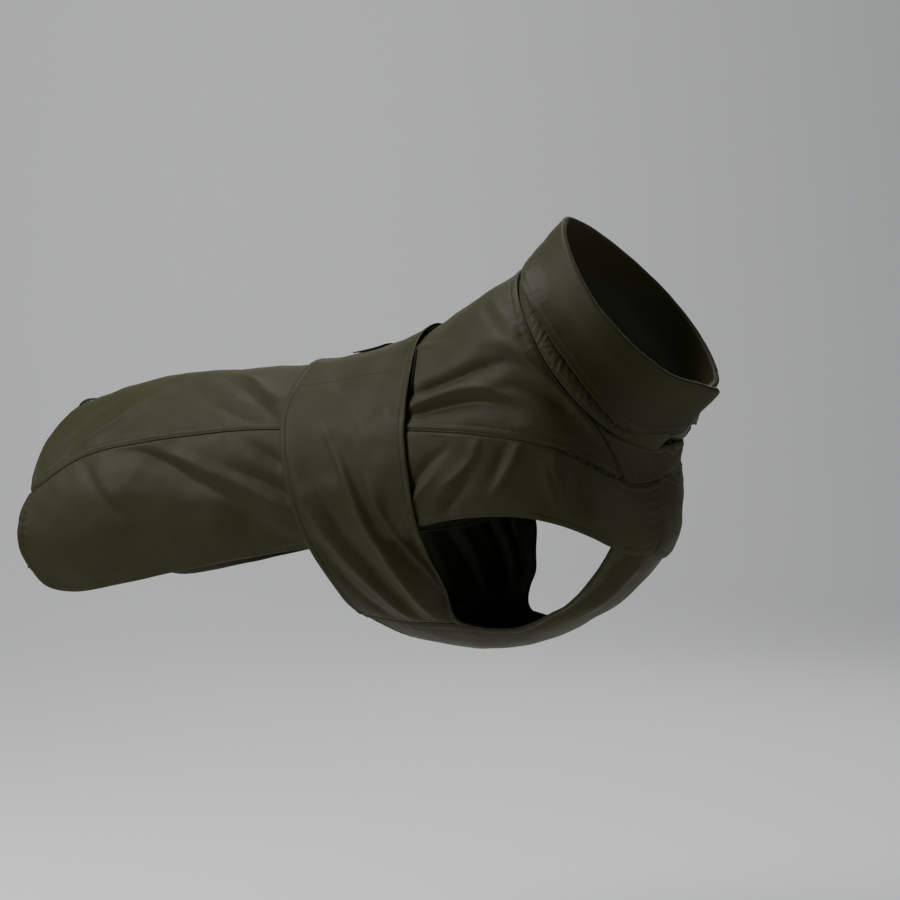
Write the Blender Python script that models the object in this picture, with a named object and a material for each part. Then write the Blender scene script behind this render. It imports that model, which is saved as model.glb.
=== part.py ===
"""Raincoat for a large, short-haired dog, in the shape that it has when it is worn.

Every piece of cloth is laid out as a maker would draw it: a place on the coat is
"along", the millimetres from the neck seam back along the spine, and "drop", the
millimetres down the cloth from the spine. The worn form turns the two into a point.

Frame: +X to the head, +Y to the dog's left, +Z up. The origin is where the inside of
the back panel rests on the withers. Tables are in millimetres, meshes in metres.
"""
import math

import bmesh
import bpy
import numpy as np

MM = 0.001
CLOTH = 1.6            # bonded softshell, measured over both faces
TAPE = 1.0             # hook and loop tape
SEAM_GAP = 0.4         # left between two panels that are sewn edge to edge
LAYER_GAP = 0.9        # left between a panel and what lies on it

RIGHT = -1             # the dog's right flank is at -Y
LEFT = 1

# ---------------------------------------------------------------- the worn form
# One row for each cross section: the point on the back and the point under the body
# (x and z), the half width, how far down it is widest, and the roundness of the upper
# and the lower half (2 is an ellipse, more is squarer).
FORM = [
    # station, back_x, back_z, belly_x, belly_z, half_width, widest, upper_power, lower_power
    ("neck seam",        86,  54,  239,  -88,  86, .53, 1.8, 2.0),
    ("yoke",             62,  40,  234, -122,  94, .52, 2.0, 2.0),
    ("point of chest",   38,  25,  234, -158, 102, .55, 2.0, 2.1),
    ("breastbone",       14,   9,  226, -194, 107, .56, 2.0, 2.1),
    ("upper arm",        -6,  -3,  199, -228, 109, .55, 2.0, 2.1),
    ("elbow",           -24, -11,  158, -255, 108, .54, 2.0, 2.1),
    ("front of girth",  -42, -17,  110, -279, 106, .52, 2.0, 2.0),
    ("girth",           -60, -23,   58, -288, 104, .50, 2.0, 2.0),
    ("back of girth",   -82, -28,   10, -287, 101, .49, 2.0, 2.0),
    ("last rib",       -108, -33,  -35, -281,  99, .49, 2.0, 2.0),
    ("loin",           -142, -36,  -80, -276,  98, .50, 2.0, 2.0),
    ("waist",          -180, -38, -130, -276,  98, .52, 2.0, 2.1),
    ("hip",            -225, -42, -190, -285,  99, .54, 2.0, 2.2),
    ("pelvis",         -275, -47, -255, -300, 100, .55, 2.0, 2.3),
    ("rump",           -325, -55, -315, -315, 100, .55, 1.9, 2.3),
    ("tail",           -370, -68, -368, -325,  98, .54, 1.8, 2.3),
    ("rear hem",       -412, -86, -416, -330,  95, .53, 1.7, 2.3),
]
# The rim of the collar is one more section, which the collar rises to.
RIM = ("rim", 134, 106, 276, -49, 74, .55, 1.65, 2.0)

SECTIONS = np.array([row[1:] for row in FORM], float)
STATIONS = np.concatenate(([0.0], np.cumsum(
    np.hypot(np.diff(SECTIONS[:, 0]), np.diff(SECTIONS[:, 1])))))
SECTION_POINTS = 97


def smooth_through(knots, values, at):
    """Values of a smooth curve through a table's rows."""
    at = np.clip(at, knots[0], knots[-1])
    step = np.diff(knots)
    slope = np.diff(values, axis=0) / step[:, None]
    tangent = np.zeros_like(values)
    tangent[1:-1] = ((slope[:-1] * step[1:, None] + slope[1:] * step[:-1, None])
                     / (step[:-1] + step[1:])[:, None])
    tangent[0] = 1.5 * slope[0] - 0.5 * tangent[1]
    tangent[-1] = 1.5 * slope[-1] - 0.5 * tangent[-2]
    i = np.clip(np.searchsorted(knots, at, side="right") - 1, 0, len(knots) - 2)
    h = step[i][..., None]
    t = ((at - knots[i]) / step[i])[..., None]
    return ((2*t**3 - 3*t**2 + 1) * values[i] + (t**3 - 2*t**2 + t) * h * tangent[i]
            + (3*t**2 - 2*t**3) * values[i + 1] + (t**3 - t**2) * h * tangent[i + 1])


def half_outline(sections):
    """Half cross sections from spine to belly, on +Y, and the length of cloth down to each point."""
    back = np.stack([sections[:, 0], 0 * sections[:, 0], sections[:, 1]], -1)
    belly = np.stack([sections[:, 2], 0 * sections[:, 0], sections[:, 3]], -1)
    half_width, widest, upper, lower = (sections[:, k, None] for k in (4, 5, 6, 7))
    turn = np.linspace(0, math.pi, SECTION_POINTS)[None, :]
    power = np.where(turn < math.pi / 2, upper, lower)
    out = half_width * np.abs(np.sin(turn)) ** (2 / power)
    reach = np.abs(np.cos(turn)) ** (2 / power)
    down = np.where(turn < math.pi / 2, widest * (1 - reach), widest + (1 - widest) * reach)
    points = back[:, None, :] + down[..., None] * (belly - back)[:, None, :]
    points[..., 1] += out
    steps = np.linalg.norm(np.diff(points, axis=1), axis=2)
    length = np.concatenate([np.zeros((len(sections), 1)), np.cumsum(steps, axis=1)], 1)
    return points, length


def read_outline(points, length, drop):
    """The point that lies drop mm down each section. Past the belly or the spine it goes up the far side."""
    whole = length[:, -1]
    past = np.abs(drop) > whole
    far = np.where(past != (drop < 0), -1.0, 1.0)
    way = np.where(past, 2 * whole - np.abs(drop), np.abs(drop))
    out = np.empty((len(way), 3))
    for i, distance in enumerate(way):
        for axis in range(3):
            out[i, axis] = np.interp(distance, length[i], points[i, :, axis])
    out[:, 1] *= far
    return out


def on_form(along, drop, side):
    """Points of the worn form, in mm, for arrays of along and drop."""
    along, drop = np.broadcast_arrays(np.asarray(along, float), np.asarray(drop, float))
    points, length = half_outline(smooth_through(STATIONS, SECTIONS, along.ravel()))
    found = read_outline(points, length, drop.ravel())
    found[:, 1] *= side
    return found.reshape(along.shape + (3,))


def half_girth(along):
    """Length of cloth from the spine to the middle of the belly."""
    along = np.asarray(along, float)
    _, length = half_outline(smooth_through(STATIONS, SECTIONS, along.ravel()))
    return length[:, -1].reshape(along.shape)


def outward(along, drop, side):
    """Unit normals of the worn form, away from the body."""
    reach = 4.0
    ahead = on_form(along - reach, drop, side) - on_form(along + reach, drop, side)
    down = on_form(along, drop + reach, side) - on_form(along, drop - reach, side)
    normal = np.cross(ahead, down) * side
    return normal / np.linalg.norm(normal, axis=-1, keepdims=True)


# ---------------------------------------------------------------- the seams and edges
# Each is (along, drop) in mm, or (along, from the centre line under the body).
NECK_SEAM = [(0, 0), (1, 60), (2.5, 120), (4, 165), (5.5, 190), (7, 212), (9, 243),
             (9, 262), (8, 282), (7, 298)]
DART_SEAM = [(7, 212), (14, 220), (23, 244), (33, 272), (41, 288)]
PRINCESS_SEAM = [(41, 288), (44, 258), (50, 234), (63, 214), (80, 195), (107, 163), (135, 137),
                 (165, 121), (200, 110), (245, 104), (290, 103), (340, 104), (390, 106),
                 (437, 105), (467, 106), (495, 112), (518, 118)]
REAR_HEM = [(507, 0), (513, 20), (521, 45), (524, 70), (524, 95), (518, 118)]
REAR_CORNER = [(518, 118), (524, 134), (524, 151), (520, 170), (509, 190)]
SIDE_HEM = [(509, 190), (486, 218), (459, 232), (432, 236), (390, 235), (335, 228), (291, 224),
            (234, 220), (190, 222), (153, 225), (134, 234), (113, 255), (102, 272), (94, 293),
            (89, 318), (88, 342)]
FRONT_OPENING = 14     # the opening lies this far to the dog's right of the centre line
OPENING_GAP = 3.0      # between the two lower corners, where it gapes
OPENING_TOP = 32       # along
OPENING_FOOT = 83      # along
YOKE_SEAM = [(41, 65), (40, 52), (37.5, 39), (34.5, 27), (32, 14), (31, 0), (32, -14), (34, -27)]
YOKE_LAP = {RIGHT: (12, 27), LEFT: (16, 14)}   # past the centre line at the neck and below
YOKE_TUCK = 2.4        # the left throat piece goes in by this under the right one

BAND_FRONT = [(158, 333), (161, 316), (160, 302), (157, 286), (155, 265), (152, 245),
              (150, 225), (146, 201), (141, 174), (133, 138), (124, 110), (115, 85),
              (108, 53), (101, 19), (99, 0), (101, -19), (108, -53), (111, -66)]
BAND_REAR = [(222, 296), (224, 276), (226, 254), (231, 225), (235, 202), (237, 180), (240, 150),
             (241, 120), (241, 96), (238, 67), (235, 36), (233, 0), (235, -36), (238, -66)]
BAND_END = {RIGHT: -66, LEFT: -24}             # drop at which each wing of the band ends
CHEST_HALF_WIDTH = [(55, 66), (70, 64), (88, 62), (102, 60), (112, 57), (126, 50), (137, 49),
                    (148, 54), (158, 66.5), (190, 66), (222, 61.5)]
CHEST_TOP = 55         # along, where it is sewn under the front
CHEST_REAR = (203, 222)  # along, in the middle and at its corners
CHEST_TUCK = 2.5       # its front end goes in by this under the side panels

# The largest folds: piece, both ends, half width and height. A trough has a height below 0.
FOLDS = [
    # piece, along_0, drop_0, along_1, drop_1, half_width, height
    ("right band", 212, 60, 190, 170, 13, 2.0),
    ("right band", 216, 150, 188, 250, 13, 4.0),
    ("right band", 196, 170, 178, 262, 10, 3.0),
    ("right band", 162, 190, 164, 300, 10, 4.5),
    ("left band", 206, 70, 186, 180, 13, 2.0),
    ("left band", 212, 165, 184, 262, 13, 4.0),
    ("left band", 166, 180, 166, 300, 11, 4.0),
    ("back", 360, 39, 262, 84, 14, -3.5),
    ("back", 459, 92, 393, 13, 12, 3.0),
    ("back", 107, 66, 40, 130, 13, -3.5),
    ("back", 112, 112, 56, 158, 12, -3.0),
    ("back", 56, 158, 24, 232, 12, -3.0),
    ("back", 35, 37, 14, 130, 12, -3.0),
    ("back", 350, -44, 268, -92, 15, -3.5),
    ("back", 452, -88, 398, -16, 12, 3.0),
    ("back", 102, -72, 42, -122, 13, -3.5),
    ("back", 108, -118, 50, -168, 12, -3.0),
    ("back", 50, -168, 24, -236, 12, -3.0),
    ("right side", 422, 120, 359, 165, 13, -3.5),
    ("right side", 388, 119, 305, 162, 13, -3.5),
    ("right side", 344, 138, 252, 200, 14, -3.5),
    ("right side", 133, 190, 150, 222, 11, -3.0),
    ("right side", 98, 194, 132, 224, 11, -3.0),
    ("right side", 83, 220, 120, 246, 11, 3.5),
    ("right side", 53, 236, 80, 291, 12, -3.0),
    ("left side", 410, 118, 350, 170, 14, -3.5),
    ("left side", 372, 122, 290, 172, 14, -3.5),
    ("left side", 328, 142, 256, 194, 13, -3.5),
    ("left side", 128, 186, 148, 220, 11, -3.0),
    ("left side", 90, 206, 124, 238, 12, 3.5),
    ("left side", 58, 240, 84, 288, 12, -3.0),
    ("chest", 96, 12, 130, 34, 13, -4.0),
    ("chest", 100, -20, 132, -30, 13, -4.0),
]


def fold_height(piece, along, drop):
    """Height of the piece's folds at each place."""
    height = np.zeros(np.broadcast(along, drop).shape)
    for name, a0, d0, a1, d1, half_width, rise in FOLDS:
        if name != piece:
            continue
        run = np.array([a1 - a0, d1 - d0], float)
        share = ((along - a0) * run[0] + (drop - d0) * run[1]) / (run @ run)
        nearest = np.clip(share, 0, 1)
        off = np.hypot(along - a0 - nearest * run[0], drop - d0 - nearest * run[1])
        fade = np.sin(math.pi * np.clip(0.08 + 0.84 * nearest, 0, 1)) ** 0.6
        height += rise * fade * np.exp(-(off / half_width) ** 2)
    return height


# ---------------------------------------------------------------- laying out cloth
def curve(points, pieces):
    """A smooth line through a seam's points, as pieces + 1 places evenly spaced along it."""
    points = np.array(points, float)
    knots = np.concatenate(([0.0], np.cumsum(np.linalg.norm(np.diff(points, axis=0), axis=1))))
    fine = smooth_through(knots, points, np.linspace(0, knots[-1], 40 * len(points)))
    run = np.concatenate(([0.0], np.cumsum(np.linalg.norm(np.diff(fine, axis=0), axis=1))))
    even = np.linspace(0, run[-1], pieces + 1)
    return np.stack([np.interp(even, run, fine[:, k]) for k in (0, 1)], -1)


def patch(top, bottom, front, rear):
    """Places inside four edges that meet at the corners: rows go from front to rear."""
    u = np.linspace(0, 1, len(top))[:, None, None]
    v = np.linspace(0, 1, len(front))[None, :, None]
    top, bottom = top[:, None, :], bottom[:, None, :]
    front, rear = front[None, :, :], rear[None, :, :]
    corners = ((1 - u) * (1 - v) * top[0] + (1 - u) * v * bottom[0]
               + u * (1 - v) * top[-1] + u * v * bottom[-1])
    return (1 - v) * top + v * bottom + (1 - u) * front + u * rear - corners


def from_centre(points):
    """Turns (along, from the centre line) into (along, drop)."""
    points = np.array(points, float)
    return np.stack([points[:, 0], half_girth(points[:, 0]) - points[:, 1]], -1)


def draw_in(grid, edge, gap):
    """Moves one edge of a grid of points back from its seam."""
    lines = {"front": (grid[0], grid[1]), "rear": (grid[-1], grid[-2]),
             "top": (grid[:, 0], grid[:, 1]), "bottom": (grid[:, -1], grid[:, -2])}
    line, inner = lines[edge]
    step = inner - line
    line += step * (gap / np.linalg.norm(step, axis=-1, keepdims=True))


def softshell(name, colour, roughness):
    """One material for each piece."""
    material = bpy.data.materials.new(name)
    material.use_nodes = True
    shader = material.node_tree.nodes["Principled BSDF"]
    shader.inputs["Base Color"].default_value = colour
    shader.inputs["Roughness"].default_value = roughness
    shader.inputs["Metallic"].default_value = 0.0
    return material


OLIVE = (0.030, 0.033, 0.018, 1.0)
BLACK = (0.010, 0.010, 0.011, 1.0)


def wall(name, inner, outer, colour=OLIVE, roughness=0.7):
    """A closed wall of cloth between two grids of points, in mm."""
    rows, columns = inner.shape[:2]
    bm = bmesh.new()
    bmesh.ops.create_grid(bm, x_segments=columns - 1, y_segments=rows - 1, size=1.0)
    place = bm.verts.layers.int.new("place")
    for index, vertex in enumerate(bm.verts):
        vertex[place] = index
    raised = bmesh.ops.extrude_face_region(bm, geom=bm.faces[:], use_keep_orig=True)["geom"]
    faces = {False: inner.reshape(-1, 3), True: outer.reshape(-1, 3)}
    raised = {item for item in raised if isinstance(item, bmesh.types.BMVert)}
    for vertex in bm.verts:
        vertex.co = faces[vertex in raised][vertex[place]] * MM
    bmesh.ops.recalc_face_normals(bm, faces=bm.faces[:])
    if bm.calc_volume(signed=True) < 0:
        bmesh.ops.reverse_faces(bm, faces=bm.faces[:])
    mesh = bpy.data.meshes.new(name)
    bm.to_mesh(mesh)
    bm.free()
    mesh.shade_smooth()
    mesh.set_sharp_from_angle(angle=math.radians(50))
    mesh.materials.append(softshell(name, colour, roughness))
    piece = bpy.data.objects.new(name, mesh)
    bpy.context.scene.collection.objects.link(piece)
    return piece


def panel(name, places, side, lift, seams=(), thick=CLOTH, colour=OLIVE, roughness=0.7):
    """Lays a grid of (along, drop) places on the form, lift mm clear of it."""
    along, drop = places[..., 0], places[..., 1]
    base = on_form(along, drop, side)
    normal = outward(along, drop, side)
    inner = base + normal * lift[..., None]
    outer = base + normal * (lift + thick)[..., None]
    for edge in seams:
        draw_in(inner, edge, SEAM_GAP / 2)
        draw_in(outer, edge, SEAM_GAP / 2)
    return wall(name, inner, outer, colour, roughness)


def ramp(value, start, end):
    """0 before start, 1 past end, smooth between."""
    t = np.clip((value - start) / (end - start), 0, 1)
    return t * t * (3 - 2 * t)


# ---------------------------------------------------------------- the pieces
PRINCESS_PIECES = 30
DART_PIECES = 4
SPINE_AT_DART = 28     # place on the spine of the row that meets the foot of the dart
BACK_COLUMNS = 10      # from the spine to the princess seam
SIDE_ROWS = 9


def back_panel():
    """The back, in one piece from neck to rear hem and from one princess seam to the other."""
    dart = curve(DART_SEAM, DART_PIECES)
    princess = curve(PRINCESS_SEAM, PRINCESS_PIECES)
    edge = np.concatenate([dart, princess[1:]])
    rows = len(edge) - 1
    spine_along = np.concatenate([np.linspace(0, SPINE_AT_DART, DART_PIECES + 1)[:-1],
                                  np.linspace(SPINE_AT_DART, REAR_HEM[0][0], PRINCESS_PIECES + 1)])
    spine = np.stack([spine_along, np.zeros(rows + 1)], -1)
    front = curve(NECK_SEAM[:6], BACK_COLUMNS)
    rear = curve(REAR_HEM, BACK_COLUMNS)
    right = patch(spine, edge, front, rear)
    left = right[:, :0:-1] * (1, -1)
    places = np.concatenate([left, right], 1)
    lift = fold_height("back", places[..., 0], places[..., 1])
    return panel("back_panel", places, RIGHT, lift, seams=("top", "bottom", "front"))


def neck_along(drop):
    """Where the neck seam lies, on either flank and past the centre line."""
    table = np.array(NECK_SEAM, float)
    whole = table[-1, 1]
    folded = np.where(np.abs(drop) > whole, 2 * whole - np.abs(drop), np.abs(drop))
    return np.interp(folded, table[:, 1], table[:, 0])


def front_yoke(side):
    """The throat piece between the collar and the side panel. The right one laps over the left."""
    neck_lap, lower_lap = YOKE_LAP[side]
    neck_drop = np.linspace(DART_SEAM[0][1], half_girth(7.0) + neck_lap, 12)
    neck = np.stack([neck_along(neck_drop), neck_drop], -1)
    seam = from_centre([(a, c) for a, c in YOKE_SEAM if c >= -lower_lap])
    closing = [neck[-1], (seam[-1] + neck[-1]) / 2, seam[-1]]
    places = patch(curve(neck, len(seam) - 1), seam, curve(DART_SEAM, DART_PIECES),
                   curve(closing, DART_PIECES))
    past = places[..., 1] - half_girth(places[..., 0])
    tuck = -YOKE_TUCK * ramp(past, -45, -22) if side == LEFT else 0 * past
    name = "front_yoke_right" if side == RIGHT else "front_yoke_left"
    return panel(name, places, side, tuck, seams=("top", "bottom", "front"))


def side_panel(side):
    """The flank below the princess seam, from the opening at the chest back to the rear corner."""
    shift = FRONT_OPENING if side == RIGHT else -FRONT_OPENING
    gape = 0 if side == RIGHT else OPENING_GAP
    yoke = from_centre([place for place in YOKE_SEAM if place[1] >= shift])[::-1]
    yoke[0, 1] -= 0 if side == RIGHT else SEAM_GAP
    down = np.linspace(OPENING_TOP, OPENING_FOOT, SIDE_ROWS + 1)
    edge = (shift + SEAM_GAP * (gape > 0) + gape * ramp(down, 45, OPENING_FOOT)
            + 4 * ramp(down, OPENING_FOOT - 7, OPENING_FOOT))
    opening = from_centre(np.stack([down, edge], -1))
    opening[0] = yoke[0]
    hem = np.concatenate([opening[-1:], from_centre([(86, shift + gape + 14)]), SIDE_HEM[::-1]])
    top = np.concatenate([yoke, curve(PRINCESS_SEAM, PRINCESS_PIECES)[1:]])
    bottom = curve(hem, len(top) - 1)
    places = patch(top, bottom, opening, curve(REAR_CORNER, SIDE_ROWS))
    name = "side_panel_right" if side == RIGHT else "side_panel_left"
    fold = fold_height("right side" if side == RIGHT else "left side",
                       places[..., 0], places[..., 1])
    return panel(name, places, side, fold, seams=("top",))


def chest_width(along):
    """Half the width of the chest panel."""
    table = np.array(CHEST_HALF_WIDTH, float)
    return smooth_through(table[:, 0], table[:, 1:], along)[..., 0]


WING_SEAM = (158, 222) # along, where the wings are sewn to the chest panel
WING_COLUMNS = 9       # across the belly band, from its front edge to its rear edge
WING_ROWS = {RIGHT: 26, LEFT: 24}
CHEST_ROWS = 9
CHEST_COLUMNS = 10


def chest_panel():
    """From under the front, between the legs, to the middle of the belly band: one piece."""
    seam = np.linspace(*WING_SEAM, WING_COLUMNS + 1)
    side_along = np.concatenate([np.linspace(CHEST_TOP, seam[0], CHEST_ROWS + 1)[:-1], seam])
    share = (side_along - CHEST_TOP) / (CHEST_REAR[1] - CHEST_TOP)
    across = np.linspace(1, -1, CHEST_COLUMNS + 1)[None, :]
    middle = CHEST_TOP + share * (CHEST_REAR[0] - CHEST_TOP)
    along = middle[:, None] + (side_along - middle)[:, None] * across ** 2
    centre = chest_width(side_along)[:, None] * across
    places = np.stack([along, half_girth(along) - centre], -1)
    tuck = -CHEST_TUCK * (1 - ramp(along, 96, 132)) + fold_height("chest", along, centre)
    return panel("chest_panel", places, RIGHT, tuck, seams=("top", "bottom"))


def band_edges(side):
    """Front and rear edges of one wing, cut off at its end."""
    end = BAND_END[side]
    front = [p for p in BAND_FRONT if p[1] > end + 6]
    rear = [p for p in BAND_REAR if p[1] > end + 6]
    for edge, table in ((front, BAND_FRONT), (rear, BAND_REAR)):
        past = np.array(table[::-1], float)
        edge.append((np.interp(end, past[:, 1], past[:, 0]), end))
    return front, rear


def belly_band(side):
    """A wing of the belly band: up the flank over the side panel, and over the back."""
    front, rear = band_edges(side)
    rows = WING_ROWS[side]
    seam = np.stack([np.linspace(*WING_SEAM, WING_COLUMNS + 1)] * 2, -1)
    seam[:, 1] = half_girth(seam[:, 0]) - chest_width(seam[:, 0])
    front[0], rear[0] = seam[0], seam[-1]
    end = curve([front[-1], rear[-1]], WING_COLUMNS)
    places = patch(curve(front, rows), curve(rear, rows), seam, end)
    drop = places[..., 1]
    over_panel = CLOTH + LAYER_GAP
    lift = over_panel * (1 - ramp(drop, 232, 318))
    if side == RIGHT:
        lift = lift + (CLOTH + LAYER_GAP) * (1 - ramp(drop, 108, 150))
    name = "right band" if side == RIGHT else "left band"
    lift = lift + fold_height(name, places[..., 0], drop) * (1 - ramp(drop, 285, 330))
    node = "belly_band_right" if side == RIGHT else "belly_band_left"
    return panel(node, places, side, lift, seams=("front",))


TAPE_DROP = (32, 106)  # the loop tape on the back, under the right wing
TAPE_AHEAD = 3.5       # it shows this far in front of the wing
TAPE_WIDTH = 50


def back_tape():
    """Loop tape on the back panel, which the right wing closes on."""
    drop = np.linspace(*TAPE_DROP, 8)
    edge = np.array(sorted([p for p in BAND_FRONT if 0 <= p[1] <= 150], key=lambda p: p[1]), float)
    start = np.interp(drop, edge[:, 1], edge[:, 0]) - TAPE_AHEAD
    across = np.linspace(0, TAPE_WIDTH, 5)
    along = start[None, :] + across[:, None]
    places = np.stack([along, np.broadcast_to(drop, along.shape)], -1)
    lift = np.full(along.shape, CLOTH + LAYER_GAP) + fold_height("back", along, places[..., 1])
    return panel("back_tape", places, RIGHT, lift, thick=TAPE, colour=BLACK, roughness=0.9)


LABEL_SIZE = (38, 20)  # along the back, and across it
LABEL_ALONG = 156


def label_blank():
    """The bare patch on top of the band."""
    along = np.linspace(LABEL_ALONG, LABEL_ALONG + LABEL_SIZE[0], 4)
    drop = np.linspace(-LABEL_SIZE[1] / 2, LABEL_SIZE[1] / 2, 3)
    places = np.stack(np.meshgrid(along, drop, indexing="ij"), -1)
    lift = np.full(places.shape[:2], 3 * CLOTH + 3 * LAYER_GAP)
    return panel("label_blank", places, RIGHT, lift, thick=TAPE, colour=BLACK, roughness=0.6)


# ---------------------------------------------------------------- collar and neck casing
COLLAR_PIECES = 44
COLLAR_START = 1.3     # the collar's own seam allowance above the neck seam
COLLAR_LAP = {"rim": 3, "neck": 15}     # right end, past the centre line
COLLAR_UNDER = 24      # left end, past the centre line, under the right one
CLOSING_LIFT = 4.4     # the right end stands out by this where it closes, and the left end in
COLLAR_INSET = 5.0     # the collar leans in by this, so that its outer side meets the rim
FALL_EDGE = [(0, .12), (60, .17), (110, .24), (150, .27), (190, .22), (230, .14), (262, .08),
             (330, .05)]
ROLL = 2.3             # half the depth of the roll at the rim
ROLL_HEIGHT = 3.0      # the roll's own height
STAND_OUT = 0.8        # the stand's middle lies this far out from the neck
FLARE = [(0, 3.5), (70, 6.5), (150, 8.0), (240, 7.5), (278, 0), (330, 0)]  # by mm from the spine


def collar_frame(around, side):
    """The neck seam, the rim and the way out for places around the neck, in mm from the spine."""
    whole = half_girth(0.0)
    along = neck_along(around)
    seam = on_form(along, around * half_girth(along) / whole, side)
    rim_points, rim_length = half_outline(np.array([RIM[1:]], float))
    rim_points = np.repeat(rim_points, len(around), 0)
    rim_length = np.repeat(rim_length, len(around), 0)
    rim = read_outline(rim_points, rim_length, around * rim_length[:, -1] / whole)
    rim[:, 1] *= side
    return seam, rim


def collar_surface(around, height, out):
    """Points of the collar: around the neck from left to right, up from the seam, and out."""
    signed = np.asarray(around, float)
    seam, rim = collar_frame(signed, RIGHT)
    step = 5.0
    seam_a, rim_a = collar_frame(signed - step, RIGHT)
    seam_b, rim_b = collar_frame(signed + step, RIGHT)
    up = rim - seam
    tall = np.linalg.norm(up, axis=-1, keepdims=True)
    share = height[..., None] / tall[:, None, :]
    way_round = (seam_b - seam_a)[:, None, :] * (1 - share) + (rim_b - rim_a)[:, None, :] * share
    normal = np.cross(way_round, np.broadcast_to(up[:, None, :], way_round.shape))
    normal /= np.linalg.norm(normal, axis=-1, keepdims=True)
    hollow = COLLAR_INSET * ramp(share, 0.05, 0.55)
    return seam[:, None, :] + share * up[:, None, :] + normal * (out[..., None] - hollow)


def hairpin(tall, edge_height, flare):
    """The collar's section: up the stand, over the roll and down the turned-down part."""
    flare_from = tall * 0.62
    roll_foot = tall - ROLL_HEIGHT
    heights = [COLLAR_START, tall * .22, tall * .48, tall * .74, roll_foot]
    outs = [STAND_OUT] * len(heights)
    for turn in (45, 90, 135):
        heights.append(roll_foot + (ROLL_HEIGHT - CLOTH / 2) * math.sin(math.radians(turn)))
        outs.append(STAND_OUT + ROLL * (1 - math.cos(math.radians(turn))))
    for share in (0, .25, .5, .75, 1):
        height = roll_foot + (edge_height - roll_foot) * share
        heights.append(height)
        outs.append(STAND_OUT + 2 * ROLL
                    + flare * max(0.0, (flare_from - height) / flare_from) ** 1.2)
    return np.array(heights), np.array(outs)


def collar():
    """One piece of cloth around the neck, folded down over itself, its right end over its left."""
    whole = float(half_girth(0.0))
    share = np.linspace(0, 1, COLLAR_PIECES + 1)
    left_end = -(whole + COLLAR_UNDER)
    edge_table, flare_table = np.array(FALL_EDGE, float), np.array(FLARE, float)
    centre_height, centre_out, around = [], [], []
    for s in share:
        neck_at = left_end + s * (whole + COLLAR_LAP["neck"] - left_end)
        rim_at = left_end + s * (whole + COLLAR_LAP["rim"] - left_end)
        seam, rim = collar_frame(np.array([neck_at]), RIGHT)
        tall = float(np.linalg.norm(rim - seam))
        edge = tall * np.interp(abs(neck_at), edge_table[:, 0], edge_table[:, 1])
        flare = np.interp(abs(neck_at), flare_table[:, 0], flare_table[:, 1])
        heights, outs = hairpin(tall, max(edge, 3.0), flare)
        lap = CLOSING_LIFT * (ramp(neck_at, whole - 58, whole - 28)
                              - ramp(-neck_at, whole - 46, whole - 16))
        centre_height.append(heights)
        centre_out.append(outs + lap)
        around.append(neck_at + (rim_at - neck_at) * heights / tall)
    height, out, around = (np.array(item) for item in (centre_height, centre_out, around))
    way = np.stack([np.gradient(height, axis=1), np.gradient(out, axis=1)], -1)
    way /= np.linalg.norm(way, axis=-1, keepdims=True)
    sides = []
    for half in (-CLOTH / 2, CLOTH / 2):
        h = height - way[..., 1] * half
        o = out + way[..., 0] * half
        points = np.stack([collar_surface(around[:, k], h[:, k:k + 1], o[:, k:k + 1])[:, 0]
                           for k in range(height.shape[1])], 1)
        sides.append(points)
    return wall("collar", sides[0], sides[1])


GATHERS = 36           # folds of the elastic casing around the neck
CASING_WIDTH = 17
CASING_START = 2.2     # above the neck seam
CASING_OUT = 3.0       # its inner face lies this far out, clear of the collar's stand
GATHER_RISE = 0.6
CASING_END = 242       # it ends this far round on each flank, under the closing


def neck_casing():
    """A narrow gathered casing with elastic in it, between the neck seam and the turned-down part."""
    pieces = GATHERS * 3
    around = np.linspace(-CASING_END, CASING_END, pieces + 1)
    phase = np.arange(pieces + 1) * 2 * math.pi / 3
    rows = np.linspace(CASING_START, CASING_START + CASING_WIDTH, 3)
    height = np.broadcast_to(rows, (pieces + 1, 3)).copy()
    gather = GATHER_RISE * np.sin(phase)[:, None] * np.array([0.7, 1.0, 0.7])
    lift = CASING_OUT + gather + np.array([0.0, 0.5, 0.0])
    inner = collar_surface(around, height, lift)
    outer = collar_surface(around, height, lift + CLOTH)
    return wall("neck_casing", inner, outer)


COLLAR_TAPE_HEIGHTS = (16, 46)     # above the neck seam
COLLAR_TAPE_WIDTH = 12
COLLAR_TAPE_OUT = 2.9              # it lies on the stand, inside the turned-down part
ROUND_END = [0, 3.2, 4.6, 5.0, 4.6, 3.2, 0]


def collar_tape():
    """Hook tape inside the collar's right end. Its rounded end stands out past the cloth."""
    whole = float(half_girth(0.0))
    height = np.linspace(*COLLAR_TAPE_HEIGHTS, len(ROUND_END))
    seam, rim = collar_frame(np.array([whole]), RIGHT)
    share_up = height / np.linalg.norm(rim - seam)
    collar_end = whole + COLLAR_LAP["neck"] + (COLLAR_LAP["rim"] - COLLAR_LAP["neck"]) * share_up
    reach = collar_end + 1.5 + np.array(ROUND_END)
    grid = []
    for level in (COLLAR_TAPE_OUT, COLLAR_TAPE_OUT + TAPE):
        out = np.full((len(height), 1), level)
        columns = [collar_surface(reach - back, height[:, None], out)[:, 0]
                   for back in (COLLAR_TAPE_WIDTH, COLLAR_TAPE_WIDTH / 2, 0)]
        grid.append(np.stack(columns, 1))
    return wall("collar_tape", grid[0], grid[1], colour=BLACK, roughness=0.9)


LOOP_ALONG = 514
LOOP_WIDTH = 9


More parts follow.
